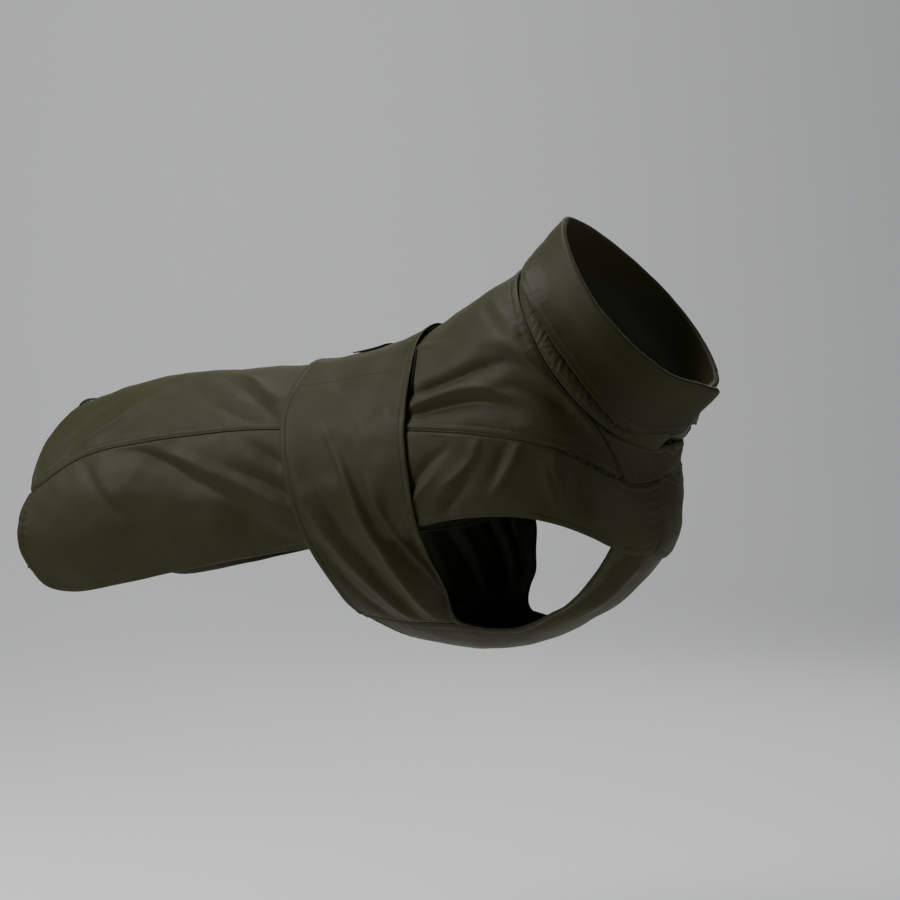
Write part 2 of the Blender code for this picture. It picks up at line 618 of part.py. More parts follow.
def tail_loop():
    """A small tab sewn over the middle of the rear hem."""
    along = np.linspace(LOOP_ALONG - 14, LOOP_ALONG + 4, 5)
    drop = np.linspace(-LOOP_WIDTH / 2, LOOP_WIDTH / 2, 3)
    places = np.stack(np.meshgrid(along, drop, indexing="ij"), -1)
    arch = np.array([0.5, 2.4, 3.2, 2.4, 0.5])[:, None] + np.zeros((1, 3))
    return panel("tail_loop", places, RIGHT, arch + CLOTH, thick=TAPE)


def build():
    """Makes every piece."""
    for item in list(bpy.data.objects):
        bpy.data.objects.remove(item, do_unlink=True)
    back_panel()
    for side in (RIGHT, LEFT):
        front_yoke(side)
        side_panel(side)
        belly_band(side)
    chest_panel()
    collar()
    neck_casing()
    collar_tape()
    back_tape()
    label_blank()
    tail_loop()


build()
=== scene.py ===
"""Looks of the dog raincoat: cloth, seams, stitching and studio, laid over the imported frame.

Tables are in millimetres of cloth, meshes in metres. A place on the coat is "along", from the
neck seam back down the spine, and "drop", down the cloth from the spine.
"""
import math

import bmesh
import bpy
import numpy as np
from mathutils import Matrix, Vector


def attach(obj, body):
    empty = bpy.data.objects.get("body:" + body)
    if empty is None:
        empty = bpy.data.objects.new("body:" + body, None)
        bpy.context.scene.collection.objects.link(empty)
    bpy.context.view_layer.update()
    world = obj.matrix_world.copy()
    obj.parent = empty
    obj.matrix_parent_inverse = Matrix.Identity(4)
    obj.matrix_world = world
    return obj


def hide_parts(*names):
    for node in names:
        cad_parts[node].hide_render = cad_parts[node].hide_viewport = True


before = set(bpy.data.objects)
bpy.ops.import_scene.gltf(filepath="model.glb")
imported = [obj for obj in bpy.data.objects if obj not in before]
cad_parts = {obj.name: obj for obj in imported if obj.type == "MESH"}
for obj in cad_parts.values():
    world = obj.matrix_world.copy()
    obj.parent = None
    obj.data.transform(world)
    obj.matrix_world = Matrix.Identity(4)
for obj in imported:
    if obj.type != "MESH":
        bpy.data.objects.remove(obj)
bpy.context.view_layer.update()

# ---------------------------------------------------------------- back panel
# The back of the coat: one piece of bonded softshell from the neck seam to the rear hem.
# It is sewn to the flanks along the princess seams, with the seam allowances turned up
# under it and topstitched. The worn form below is the one that all the cloth lies on.
MM = 0.001
CLOTH = 1.5            # bonded softshell, face to lining
RIGHT, LEFT = -1, 1    # the dog's right flank is at -Y
FORM = np.array([
    # back x, back z, belly x, belly z, half width, widest, upper power, lower power
    (108, 71, 246, -58, 79, .53, 1.7, 2.0),
    (86, 54, 239, -88, 86, .53, 1.8, 2.0),
    (62, 40, 234, -122, 94, .52, 2.0, 2.0),
    (38, 25, 234, -158, 102, .55, 2.0, 2.1),
    (14, 9, 226, -194, 107, .56, 2.0, 2.1),
    (-6, -3, 199, -228, 109, .55, 2.0, 2.1),
    (-24, -11, 158, -255, 108, .54, 2.0, 2.1),
    (-42, -17, 110, -279, 106, .52, 2.0, 2.0),
    (-60, -23, 58, -288, 104, .50, 2.0, 2.0),
    (-82, -28, 10, -287, 101, .49, 2.0, 2.0),
    (-108, -33, -35, -281, 99, .49, 2.0, 2.0),
    (-142, -36, -80, -276, 98, .50, 2.0, 2.0),
    (-180, -38, -130, -276, 98, .52, 2.0, 2.1),
    (-225, -42, -190, -285, 99, .54, 2.0, 2.2),
    (-275, -47, -255, -300, 100, .55, 2.0, 2.3),
    (-325, -55, -315, -315, 100, .55, 1.9, 2.3),
    (-370, -68, -368, -325, 98, .54, 1.8, 2.3),
    (-412, -86, -416, -330, 95, .53, 1.7, 2.3),
    (-433, -95, -440, -332, 93.5, .53, 1.65, 2.3)], float)
STATIONS = np.cumsum(np.hypot(np.diff(FORM[:, 0]), np.diff(FORM[:, 1])))
STATIONS = np.concatenate(([0.0], STATIONS)) - STATIONS[0]     # 0 is at the second section

NECK_TO_DART = [(-8, 0), (-7, 30), (-4.5, 60), (-1.5, 88), (2.5, 116), (7.5, 144), (10.5, 166),
                (13.5, 190), (15, 208)]
NECK_SEAM = NECK_TO_DART + [(16, 224), (16.2, 240), (14.5, 256), (12, 270), (9.5, 284), (7, 298)]
DART_SEAM = [(15, 208), (18, 224), (22.5, 241), (30, 263), (41, 288)]
PRINCESS_SEAM = [(41, 288), (44, 258), (50, 234), (63, 214), (80, 195), (107, 163), (135, 137),
                 (165, 121), (200, 110), (245, 104), (290, 103), (340, 104), (390, 106),
                 (437, 105), (467, 106), (495, 112), (518, 118)]
REAR_HEM = [(507, 0), (513, 20), (521, 45), (524, 70), (524, 95), (518, 118)]

# Folds: where they run from their strong end, half width on each side, and height.
BACK_FOLDS = [
    ([(248, 94), (282, 64), (312, 42), (342, 24)], 7, 9, -4.9),
    ([(246, 74), (266, 60), (294, 38), (320, 22)], 5, 6, 3.2),
    ([(247, 102), (298, 84), (336, 60), (368, 38)], 8, 10, -4.3),
    ([(470, 97), (462, 90), (432, 76), (406, 60), (388, 46), (362, 24)], 3, 5, 2.8),
    ([(486, 74), (452, 52), (416, 26)], 12, 14, -2.6),
    ([(440, 94), (410, 82), (384, 62)], 9, 10, -1.9),
    ([(112, 50), (86, 68), (64, 92)], 5, 7, 2.9),
    ([(120, 107), (82, 118), (50, 128), (30, 138), (18, 162), (16, 196)], 7, 9, -6.7),
    ([(124, 118), (84, 132), (52, 162), (34, 196)], 5, 6, 4.3),
    ([(127, 126), (92, 142), (56, 176), (40, 212)], 7, 9, -6.7),
    ([(20, 204), (28, 180), (44, 160), (76, 150)], 5, 6, -4.6),
    ([(15, 176), (17, 138), (25, 116), (46, 103), (70, 96)], 5, 6, 3.8),
    ([(12, 112), (17, 76), (23, 44)], 3, 5, 1.7),
    ([(22, 110), (27, 74), (34, 40)], 5, 6, -2.2),
    ([(36, 226), (52, 206), (72, 190)], 4, 5, 2.0),
    ([(24, 14), (60, 30), (100, 34)], 10, 12, -2.3),
]


def other_half(table, shift, stretch):
    """Folds for the half that doesn't show: much the same, a little shifted and softer."""
    return [([(along + shift, stretch * drop) for along, drop in path], above, below, 0.9 * rise)
            for path, above, below, rise in table]


BACK_FOLDS += other_half(BACK_FOLDS, 3, -0.97)


def smooth_through(knots, values, at):
    """Values on a smooth curve through the rows of a table."""
    at = np.clip(at, knots[0], knots[-1])
    step = np.diff(knots)
    slope = np.diff(values, axis=0) / step[:, None]
    tangent = np.zeros_like(values)
    tangent[1:-1] = ((slope[:-1] * step[1:, None] + slope[1:] * step[:-1, None])
                     / (step[:-1] + step[1:])[:, None])
    tangent[0] = 1.5 * slope[0] - 0.5 * tangent[1]
    tangent[-1] = 1.5 * slope[-1] - 0.5 * tangent[-2]
    i = np.clip(np.searchsorted(knots, at, side="right") - 1, 0, len(knots) - 2)
    h = step[i][..., None]
    t = ((at - knots[i]) / step[i])[..., None]
    return ((2*t**3 - 3*t**2 + 1) * values[i] + (t**3 - 2*t**2 + t) * h * tangent[i]
            + (3*t**2 - 2*t**3) * values[i + 1] + (t**3 - t**2) * h * tangent[i + 1])


def half_outline(sections):
    """Half cross sections from spine to belly, and the length of cloth down to each point."""
    back = np.stack([sections[:, 0], 0 * sections[:, 0], sections[:, 1]], -1)
    belly = np.stack([sections[:, 2], 0 * sections[:, 0], sections[:, 3]], -1)
    half_width, widest, upper, lower = (sections[:, k, None] for k in (4, 5, 6, 7))
    turn = np.linspace(0, math.pi, 73)[None, :]
    power = np.where(turn < math.pi / 2, upper, lower)
    reach = np.abs(np.cos(turn)) ** (2 / power)
    down = np.where(turn < math.pi / 2, widest * (1 - reach), widest + (1 - widest) * reach)
    points = back[:, None, :] + down[..., None] * (belly - back)[:, None, :]
    points[..., 1] += half_width * np.abs(np.sin(turn)) ** (2 / power)
    steps = np.linalg.norm(np.diff(points, axis=1), axis=2)
    return points, np.concatenate([np.zeros((len(sections), 1)), np.cumsum(steps, axis=1)], 1)


def down_outline(points, length, drop):
    """The point that lies drop mm down each section, up the far side past the belly."""
    whole = length[:, -1]
    past = np.abs(drop) > whole
    way = np.where(past, 2 * whole - np.abs(drop), np.abs(drop))
    k = np.clip((length <= way[:, None]).sum(1) - 1, 0, length.shape[1] - 2)
    row = np.arange(len(way))
    share = (way - length[row, k]) / (length[row, k + 1] - length[row, k])
    found = points[row, k] + share[:, None] * (points[row, k + 1] - points[row, k])
    found[:, 1] *= np.where(past != (drop < 0), -1.0, 1.0)
    return found


def on_form(along, drop, side):
    """Points of the worn form, in mm."""
    along, drop = np.broadcast_arrays(np.asarray(along, float), np.asarray(drop, float))
    flat_along, flat_drop = along.ravel(), drop.ravel()
    found = np.empty((len(flat_along), 3))
    # Some thousand points at a time keep the arrays small.
    for start in range(0, len(flat_along), 6000):
        part = slice(start, start + 6000)
        found[part] = down_outline(*half_outline(smooth_through(STATIONS, FORM, flat_along[part])),
                                   flat_drop[part])
    found[:, 1] *= side
    return found.reshape(along.shape + (3,))


def half_girth(along):
    """The cloth from the spine to the middle of the belly, in mm."""
    along = np.asarray(along, float)
    length = half_outline(smooth_through(STATIONS, FORM, along.ravel()))[1]
    return length[:, -1].reshape(along.shape)


def outward(along, drop, side):
    """The way out of the worn form."""
    base = on_form(along, drop, side)
    step = np.where(np.asarray(along) > 100, 1.0, -1.0)
    ahead = (on_form(along - step, drop, side) - base) * step[..., None]
    normal = np.cross(ahead, on_form(along, drop + 1.0, side) - base) * side
    return normal / np.linalg.norm(normal, axis=-1, keepdims=True)


def faced(places, side):
    """Points of the worn form at these places, and the way out there."""
    along, drop = places[..., 0], places[..., 1]
    return on_form(along, drop, side), outward(along, drop, side)


def run_along(points):
    """The length of a line of points up to each of them."""
    return np.concatenate(([0.0], np.cumsum(np.linalg.norm(np.diff(points, axis=0), axis=1))))


def curve(points, pieces):
    """A smooth line through a seam's points, as pieces + 1 places evenly spaced along it."""
    points = np.array(points, float)
    knots = run_along(points)
    fine = smooth_through(knots, points, np.linspace(0, knots[-1], 40 * len(points)))
    run = run_along(fine)
    even = np.linspace(0, run[-1], pieces + 1)
    return np.stack([np.interp(even, run, fine[:, k]) for k in range(points.shape[1])], -1)


def ramp(value, start, end):
    """0 up to the start, 1 from the end on, and smooth between them."""
    t = np.clip((value - start) / (end - start), 0, 1)
    return t * t * (3 - 2 * t)


def from_line(points, line):
    """How far each point lies from a line of points, on which side, and how far along it."""
    segment = np.gradient(line, axis=0)
    segment /= np.linalg.norm(segment, axis=1, keepdims=True)
    run = run_along(line)
    flat = points.reshape(-1, 3)
    off, place, nearest = np.empty((len(flat), 3)), np.empty(len(flat)), np.empty(len(flat), int)
    for start in range(0, len(flat), 4000):
        part = slice(start, start + 4000)
        k = ((flat[part, None, :] - line[None]) ** 2).sum(-1).argmin(1)
        away = flat[part] - line[k]
        slide = (away * segment[k]).sum(-1)
        slide = np.clip(run[k] + slide, 0, run[-1]) - run[k]
        off[part] = away - slide[:, None] * segment[k]
        place[part] = run[k] + slide
        nearest[part] = k
    shape = points.shape[:-1]
    return (np.linalg.norm(off, axis=1).reshape(shape), off.reshape(points.shape),
            place.reshape(shape), run[-1], segment[nearest].reshape(points.shape))


def folds(base, normal, table, side):
    """Height of the folds. The first width is on the upper side of a fold that runs ahead."""
    height = np.zeros(base.shape[:-1])
    for path, above, below, rise in table:
        path = curve(path, 28)
        away, off, place, whole, segment = from_line(base, on_form(path[:, 0], path[:, 1], side))
        upper = (off * np.cross(normal, segment)).sum(-1) * -side > 0
        width = np.where(upper, above, below)
        fade = ramp(place / whole, -0.1, 0.12) * (1 - ramp(place / whole, 0.35, 1.0)) ** 0.8
        height += rise * fade * np.exp(-(away / width) ** 1.45)
    return height


RIPPLE_WAVES = 12


def ripple(base, seed, wave, amount):
    """Slow unevenness of cloth that is pulled a little here and there."""
    rng = np.random.default_rng(seed)
    height = np.zeros(base.shape[:-1])
    for _ in range(RIPPLE_WAVES):
        way = rng.normal(size=3)
        way /= np.linalg.norm(way)
        height += np.sin(base @ way * 2 * math.pi / (wave * rng.uniform(0.7, 1.6))
                         + rng.uniform(0, 2 * math.pi))
    return height * amount / math.sqrt(RIPPLE_WAVES)


STITCH_IN = 6.5        # topstitching lies this far inside an edge
SEAM_STIFF = 5.5       # folds run out this near to a seam
# Distances from an edge at which a grid has its first lines, close together under the thread.
EDGE_LINES = np.array([0, .35, .9, 1.8, 3.2, 4.6, 5.7, 6.5, 7.3, 8.4, 10.2])
PUCKER_IN, PUCKER_WIDE = 9.5, 4.5          # cloth puckers just inside the stitching
GROOVE_DEEP, GROOVE_WIDE = 0.36, 0.85      # the thread pulls it in along its line


def hem(away, run):
    """Turned and topstitched edge: a rounded fold, a low welt, and a groove under the thread."""
    pucker = np.sin(run * 2 * math.pi / 8.6 + 1.7 * np.sin(run / 23)) * 0.22
    return (-0.8 * np.clip(1 - away / 0.9, 0, 1) ** 2
            + (0.2 + pucker * 0.6) * ramp(away, 0.4, 1.8) * (1 - ramp(away, 4.6, 6.4))
            - GROOVE_DEEP * np.exp(-((away - STITCH_IN) / GROOVE_WIDE) ** 2)
            + pucker * np.exp(-((away - PUCKER_IN) / PUCKER_WIDE) ** 2))


def seam_over(away, run):
    """The topstitched side of a seam, raised by the allowances under it."""
    pucker = np.sin(run * 2 * math.pi / 9.4 + 2.1 * np.sin(run / 27)) * 0.2
    return (-0.45 * np.exp(-(away / 0.8) ** 2)
            + (0.4 + pucker) * ramp(away, 0.6, 2.2) * (1 - ramp(away, 4.6, 6.4))
            - GROOVE_DEEP * np.exp(-((away - STITCH_IN) / GROOVE_WIDE) ** 2)
            + pucker * np.exp(-((away - PUCKER_IN) / PUCKER_WIDE) ** 2))


def seam_under(away, run):
    """The plain side of a seam, which dips into the joint."""
    pucker = np.sin(run * 2 * math.pi / 10.2 + 1.9 * np.sin(run / 31)) * 0.22
    return -2.4 * np.exp(-(away / 1.5) ** 2) + pucker * np.exp(-((away - 4.5) / 4.0) ** 2)


def cloth_height(side, lift, table, edges, fold_share=None, lowest=None):
    """The height of a piece's face over the form, as a function of its places."""
    lines = [(on_form(*curve(path, 140).T, side), shape) for path, shape in edges]

    def height(places):
        base, normal = faced(places, side)
        share = 1.0 if fold_share is None else fold_share(places)
        total = lift(places) + CLOTH
        for line, shape in lines:
            away, _, run, _, _ = from_line(base, line)
            total = total + shape(away, run)
            if shape is not hem:
                # A seam is stiff, so folds run out before they reach it.
                share = share * (1 - np.exp(-(away / SEAM_STIFF) ** 2))
        total = total + share * (folds(base, normal, table, side) + ripple(base, 11, 62, 0.8)
                                 + ripple(base, 12, 24, 0.24))
        if lowest is not None:
            # The higher of the two, with a soft bend where they cross.
            under = lowest(places)
            total = (total + under + np.sqrt((total - under) ** 2 + 0.6)) / 2
        return base, normal, total
    return height


def respace(grid, side, step):
    """Moves a grid's columns so that they follow the edges, close together at hem and stitching."""
    points = on_form(grid[..., 0], grid[..., 1], side)
    run = np.cumsum(np.linalg.norm(np.diff(points, axis=1), axis=2), axis=1)
    run = np.concatenate([np.zeros((len(grid), 1)), run], 1)
    whole = run[:, -1]
    between = max(2, int(round(np.percentile(whole, 80) / step)))
    out = []
    for row in range(len(grid)):
        near = EDGE_LINES * min(1.0, whole[row] / (2.6 * EDGE_LINES[-1]))
        middle = np.linspace(near[-1], whole[row] - near[-1], between + 1)[1:-1]
        at = np.concatenate([near, middle, (whole[row] - near)[::-1]])
        out.append(np.stack([np.interp(at, run[row], grid[row, :, k]) for k in (0, 1)], -1))
    return np.array(out)


def cut(top, bottom, front, rear, side, step=3.4):
    """The places of one piece of cloth between four edges. Rows run from front to rear."""
    top, bottom = curve(top, 150)[:, None, :], curve(bottom, 150)[:, None, :]
    front, rear = curve(front, 70)[None, :, :], curve(rear, 70)[None, :, :]
    u = np.linspace(0, 1, 151)[:, None, None]
    v = np.linspace(0, 1, 71)[None, :, None]
    front = front + (1 - v) * (top[0] - front[:, 0]) + v * (bottom[0] - front[:, -1])
    rear = rear + (1 - v) * (top[-1] - rear[:, 0]) + v * (bottom[-1] - rear[:, -1])
    corners = ((1 - u) * (1 - v) * top[0] + (1 - u) * v * bottom[0]
               + u * (1 - v) * top[-1] + u * v * bottom[-1])
    grid = (1 - v) * top + v * bottom + (1 - u) * front + u * rear - corners
    grid = respace(grid, side, step)
    return respace(grid.transpose(1, 0, 2), side, step).transpose(1, 0, 2)


def smooth_object(name, bm, *materials):
    """An object with smooth faces, from a mesh that has been built."""
    mesh = bpy.data.meshes.new(name)
    bm.to_mesh(mesh)
    bm.free()
    mesh.shade_smooth()
    for material in materials:
        mesh.materials.append(material)
    piece = bpy.data.objects.new(name, mesh)
    bpy.context.scene.collection.objects.link(piece)
    return piece


def sheet_mesh(name, points, normal, materials, thick=CLOTH):
    """A grid of cloth through these points, in mm, faced outwards, with a wall behind it."""
    rows, columns = points.shape[:2]
    bm = bmesh.new()
    bmesh.ops.create_grid(bm, x_segments=columns - 1, y_segments=rows - 1, size=1.0)
    flat = points.reshape(-1, 3) * MM
    for vertex, place in zip(bm.verts, flat):
        vertex.co = place
    across = np.cumsum(np.linalg.norm(np.diff(points, axis=1, prepend=points[:, :1]), axis=2), 1)
    back = np.cumsum(np.linalg.norm(np.diff(points, axis=0, prepend=points[:1]), axis=2), 0)
    cloth_map = np.stack([back.ravel(), across.ravel()], -1) * MM
    layer = bm.loops.layers.uv.new("cloth")
    bm.faces.ensure_lookup_table()
    bm.normal_update()
    facing = 0.0
    toward = normal.reshape(-1, 3)
    for face in bm.faces:
        facing += face.normal.dot(Vector(toward[face.verts[0].index])) * face.calc_area()
        for loop in face.loops:
            loop[layer].uv = cloth_map[loop.vert.index]
    if facing < 0:
        bmesh.ops.reverse_faces(bm, faces=bm.faces[:])
    piece = smooth_object(name, bm, *materials)
    wall = piece.modifiers.new("cloth thickness", "SOLIDIFY")
    wall.thickness = thick * MM
    wall.offset = -1.0
    wall.material_offset = len(materials) - 1
    return piece


def thread_line(bm, points, normals, pitch=3.3, thread=0.5):
    """One row of stitches along a line of points, in mm."""
    run = run_along(points)
    count = int(run[-1] / pitch)
    few = bmesh.new()
    for k in range(count):
        at, ahead = (k + 0.14) * pitch, (k + 0.86) * pitch
        a = Vector([np.interp(at, run, points[:, i]) for i in range(3)])
        b = Vector([np.interp(ahead, run, points[:, i]) for i in range(3)])
        up = Vector([np.interp((at + ahead) / 2, run, normals[:, i]) for i in range(3)])
        way = b - a
        long = way.length
        if long < 0.3:
            continue
        way.normalize()
        side = up.cross(way).normalized()
        up = way.cross(side)
        place = Matrix((way, side, up)).transposed().to_4x4()
        place.translation = ((a + b) / 2 + up * thread * 0.1) * MM
        size = Matrix.Diagonal((long * 0.56 * MM, thread / 2 * MM, thread / 2 * MM, 1))
        bmesh.ops.create_uvsphere(few, u_segments=6, v_segments=4, radius=1.0,
                                  matrix=place @ size)
        # A dozen stitches at a time stay quick to make.
        if k % 12 == 11 or k == count - 1:
            row = bpy.data.meshes.new("stitches")
            few.to_mesh(row)
            few.clear()
            bm.from_mesh(row)
            bpy.data.meshes.remove(row)
    few.free()


def inset_places(path, side, inset, toward):
    """The places that lie a way inside an edge, measured on the form."""
    places = curve(path, 260)
    line, normal = faced(places, side)
    inward = np.cross(normal, np.gradient(line, axis=0))
    inward /= np.linalg.norm(inward, axis=1, keepdims=True)
    middle = on_form(toward[0], toward[1], side)
    if ((middle - line) * inward).sum() < 0:
        inward = -inward
    goal = line + inward * inset
    for _ in range(4):
        # How far a small step along and a small step down move the point gives the way to go.
        gap = goal - on_form(*places.T, side)
        by_along, by_drop = (on_form(*(places + step).T, side) - on_form(*(places - step).T, side)
                             for step in np.array([(0.5, 0), (0, 0.5)]))
        aa, dd, ad = ((by_along ** 2).sum(1), (by_drop ** 2).sum(1), (by_along * by_drop).sum(1))
        ga, gd = (gap * by_along).sum(1), (gap * by_drop).sum(1)
        places = places + np.stack([(ga * dd - gd * ad), (gd * aa - ga * ad)], -1) / (
            aa * dd - ad * ad)[:, None]
    return places


SEAM_LAP = 0.7         # two pieces lap by this at a seam, so that no gap is left


def past_seam(path, side, toward):
    """An edge carried that little past its seam."""
    return inset_places(path, side, -SEAM_LAP, toward)


def sew(name, height, lines, side, material):
    """Topstitching on a piece: rows of thread a way inside its edges."""
    bm = bmesh.new()
    for path, inset, toward in lines:
        places = inset_places(path, side, inset, toward) if inset else curve(path, 200)
        base, normal, lift = height(places)
        thread_line(bm, base + normal * lift[:, None], normal)
    return smooth_object(name, bm, material)


def linear(colour):
    """An sRGB hex colour as linear light."""
    parts = [int(colour[k:k + 2], 16) / 255 for k in (1, 3, 5)]
    light = [c / 12.92 if c <= 0.04045 else ((c + 0.055) / 1.055) ** 2.4 for c in parts]
    return (*light, 1.0)


def set_inputs(material, node, inputs):
    """Sets a node's inputs. Each is a value, or a (node, output) to link from."""
    for key, value in dict(inputs).items():
        if isinstance(value, tuple) and hasattr(value[0], "outputs"):
            material.node_tree.links.new(value[0].outputs[value[1]], node.inputs[key])
        else:
            node.inputs[key].default_value = value


def add_node(material, kind, inputs=(), **settings):
    """A node with its settings and inputs."""
    node = material.node_tree.nodes.new(kind)
    for key, value in settings.items():
        setattr(node, key, value)
    set_inputs(material, node, inputs)
    return node


def new_material(name):
    """A material, and the shader that comes with it."""
    material = bpy.data.materials.new(name)
    material.use_nodes = True
    return material, material.node_tree.nodes["Principled BSDF"]


def cloth_material(name, shade, tone, thread_mm, roughness, sheen, bump):
    """Woven face of a bonded cloth: shade and tone are its darker and lighter colour."""
    material, shader = new_material(name)
    place = add_node(material, "ShaderNodeTexCoord")
    cloth_map = add_node(material, "ShaderNodeUVMap", uv_map="cloth")
    # A band repeats every 2 pi / (20 x scale) metres.
    scale = 2 * math.pi / (20 * thread_mm * MM)
    warp, weft = (add_node(material, "ShaderNodeTexWave",
                           {"Vector": (cloth_map, "UV"), "Scale": scale, "Distortion": 0.6,
                            "Detail": 0.0, "Detail Scale": 0.4}, bands_direction=way)
                  for way in "XY")
    weave = add_node(material, "ShaderNodeMath", {0: (warp, "Fac"), 1: (weft, "Fac")},
                     operation="MULTIPLY")
    mottle = add_node(material, "ShaderNodeTexNoise",
                      {"Vector": (place, "Object"), "Scale": 38.0, "Detail": 5.0,
                       "Roughness": 0.6})
    grain = add_node(material, "ShaderNodeTexNoise",
                     {"Vector": (place, "Object"), "Scale": 900.0, "Detail": 2.0})
    share = add_node(material, "ShaderNodeMath",
                     {0: (mottle, "Fac"), 1: (weave, "Value"), 2: 0.18}, operation="MULTIPLY_ADD")
    colour = add_node(material, "ShaderNodeMix",
                      {"Factor": (share, "Value"), "A": linear(shade), "B": linear(tone)},
                      data_type="RGBA")
    dull = add_node(material, "ShaderNodeMapRange",
                    {"Value": (mottle, "Fac"), "From Min": 0.3, "From Max": 0.7,
                     "To Min": roughness - 0.05, "To Max": roughness + 0.06})
    fine = add_node(material, "ShaderNodeBump",
                    {"Height": (grain, "Fac"), "Strength": 0.25, "Distance": 0.05 * MM})
    raised = add_node(material, "ShaderNodeBump",
                      {"Height": (weave, "Value"), "Strength": bump, "Distance": 0.12 * MM,
                       "Normal": (fine, "Normal")})
    set_inputs(material, shader,
               {"Metallic": 0.0, "IOR": 1.3, "Sheen Weight": sheen, "Sheen Roughness": 0.45,
                "Sheen Tint": linear("#8E8C5E"), "Base Color": (colour, "Result"),
                "Roughness": (dull, "Result"), "Normal": (raised, "Normal")})
    return material


# Softshell: polyester woven so fine that it reads as matt with a low sheen. Its 0.25 mm
# threads are drawn at 0.8 mm, the finest that shows here. The lining is a short dark fleece,
# rough, with a faint sheen on its nap. The thread is a shade lighter than the cloth.
softshell = cloth_material("bonded_softshell_face", "#2A2B14", "#36371A", 0.8, 0.58, 0.05, 0.35)
lining = cloth_material("brushed_fleece_lining", "#292A1F", "#353626", 1.6, 0.90, 0.25, 0.6)
thread = cloth_material("spun_polyester_thread", "#2D2F1E", "#404229", 0.3, 0.55, 0.15, 0.3)


def finish_piece(piece, node, pieces=()):
    """Puts a piece, and any pieces that go with it, in place of its frame node."""
    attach(piece, "root")
    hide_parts(node)
    for extra in pieces:
        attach(extra, "root")


def make_panel(node, height, places, rows, side):
    """A softshell panel with its topstitching, in place of its frame node."""
    base, normal, lift = height(places)
    panel = sheet_mesh(f"{node}_cloth", base + normal * lift[..., None], normal,
                       [softshell, lining])
    panel_thread = sew(f"{node}_stitching", height, rows, side, thread)
    finish_piece(panel, node, pieces=[panel_thread])


def mirror_line(path):
    """The same line on the other flank."""
    return [(along, -drop) for along, drop in path]


def along_at(line, drop):
    """How far along a line runs, at this drop."""
    return np.interp(drop, *np.array(sorted((d, a) for a, d in line)).T)


def under_band(places):
    """1 where the cloth shows, 0 where the belly band lies flat on it."""
    front, rear = (along_at(line, np.abs(places[..., 1])) for line in (BAND_FRONT, BAND_REAR))
    behind_front = ramp(places[..., 0], front - 2, front + 14)
    return 1 - behind_front * (1 - ramp(places[..., 0], rear - 12, rear + 4))


# The belly band's edges, up from the chest panel and over the spine to the far side.
BAND_FRONT = [(158, 333), (161, 316), (160, 302), (157, 286), (155, 265), (152, 245), (150, 225),
              (146, 201), (141, 174), (133, 138), (124, 110), (115, 85), (108, 53), (101, 19),
              (99, 0), (101, -19), (108, -53), (111, -66)]
BAND_REAR = [(222, 296), (224, 276), (226, 254), (231, 225), (235, 202), (237, 180), (240, 150),
             (241, 120), (241, 96), (238, 67), (235, 36), (233, 0), (235, -36), (238, -66)]

back_edges = [(line, shape)
              for path, shape in ((NECK_TO_DART, seam_over), (DART_SEAM, seam_over),
                                  (PRINCESS_SEAM, seam_over), (REAR_HEM, hem))
              for line in (path, mirror_line(path))]
back_height = cloth_height(RIGHT, lambda places: 0.0, BACK_FOLDS, back_edges, under_band)
spine = [(-8, 0), (28, 0), (150, 0), (300, 0), (507, 0)]
inside = (250, 40)
half = cut(spine, past_seam(DART_SEAM[:-1] + PRINCESS_SEAM, RIGHT, inside), NECK_TO_DART, REAR_HEM,
           RIGHT)
# The grid is close together at the spine, where there is no edge, so those columns go.
spare = len(EDGE_LINES) - 3
half = np.concatenate([half[:, :1], half[:, spare:]], 1)
places = np.concatenate([half[:, :0:-1] * (1, -1), half], 1)
sewn = [DART_SEAM[1:-1], PRINCESS_SEAM[1:], REAR_HEM, NECK_TO_DART[:-1]]
make_panel("back_panel", back_height, places,
           [(path, STITCH_IN, inside) for path in sewn]
           + [(mirror_line(path), STITCH_IN, (250, -40)) for path in sewn], RIGHT)

# ---------------------------------------------------------------- side panels
# The flanks, each one piece from the opening at the chest back to the round rear corner.
# Hemmed all round below, and sewn under the back panel's allowances along the princess seam.
REAR_CORNER = [(518, 118), (526, 135), (527, 152), (523.5, 172), (512, 193)]
SIDE_HEM = [(512, 193), (489, 222), (461, 236), (434, 239.5), (391, 238), (335, 230), (291, 225),
            (234, 220), (190, 222), (153, 225), (134, 234), (113, 255), (102, 272), (94, 293),
            (89, 318), (88, 342)]
FRONT_OPENING = 14     # the opening lies this far to the dog's right of the centre line
OPENING_GAP = 3.0      # between the two lower corners, where it gapes
OPENING_TOP, OPENING_FOOT = 34, 83
UNDERLAP = 7           # the left flank goes this far under the right one there
TUCK = 2.4             # and what is under lies this much deeper
YOKE_SEAM = [(41, 65), (42, 56), (40.5, 44), (37, 30), (33, 14), (29, 0), (26.5, -14), (25.4, -21),
             (24.5, -27)]

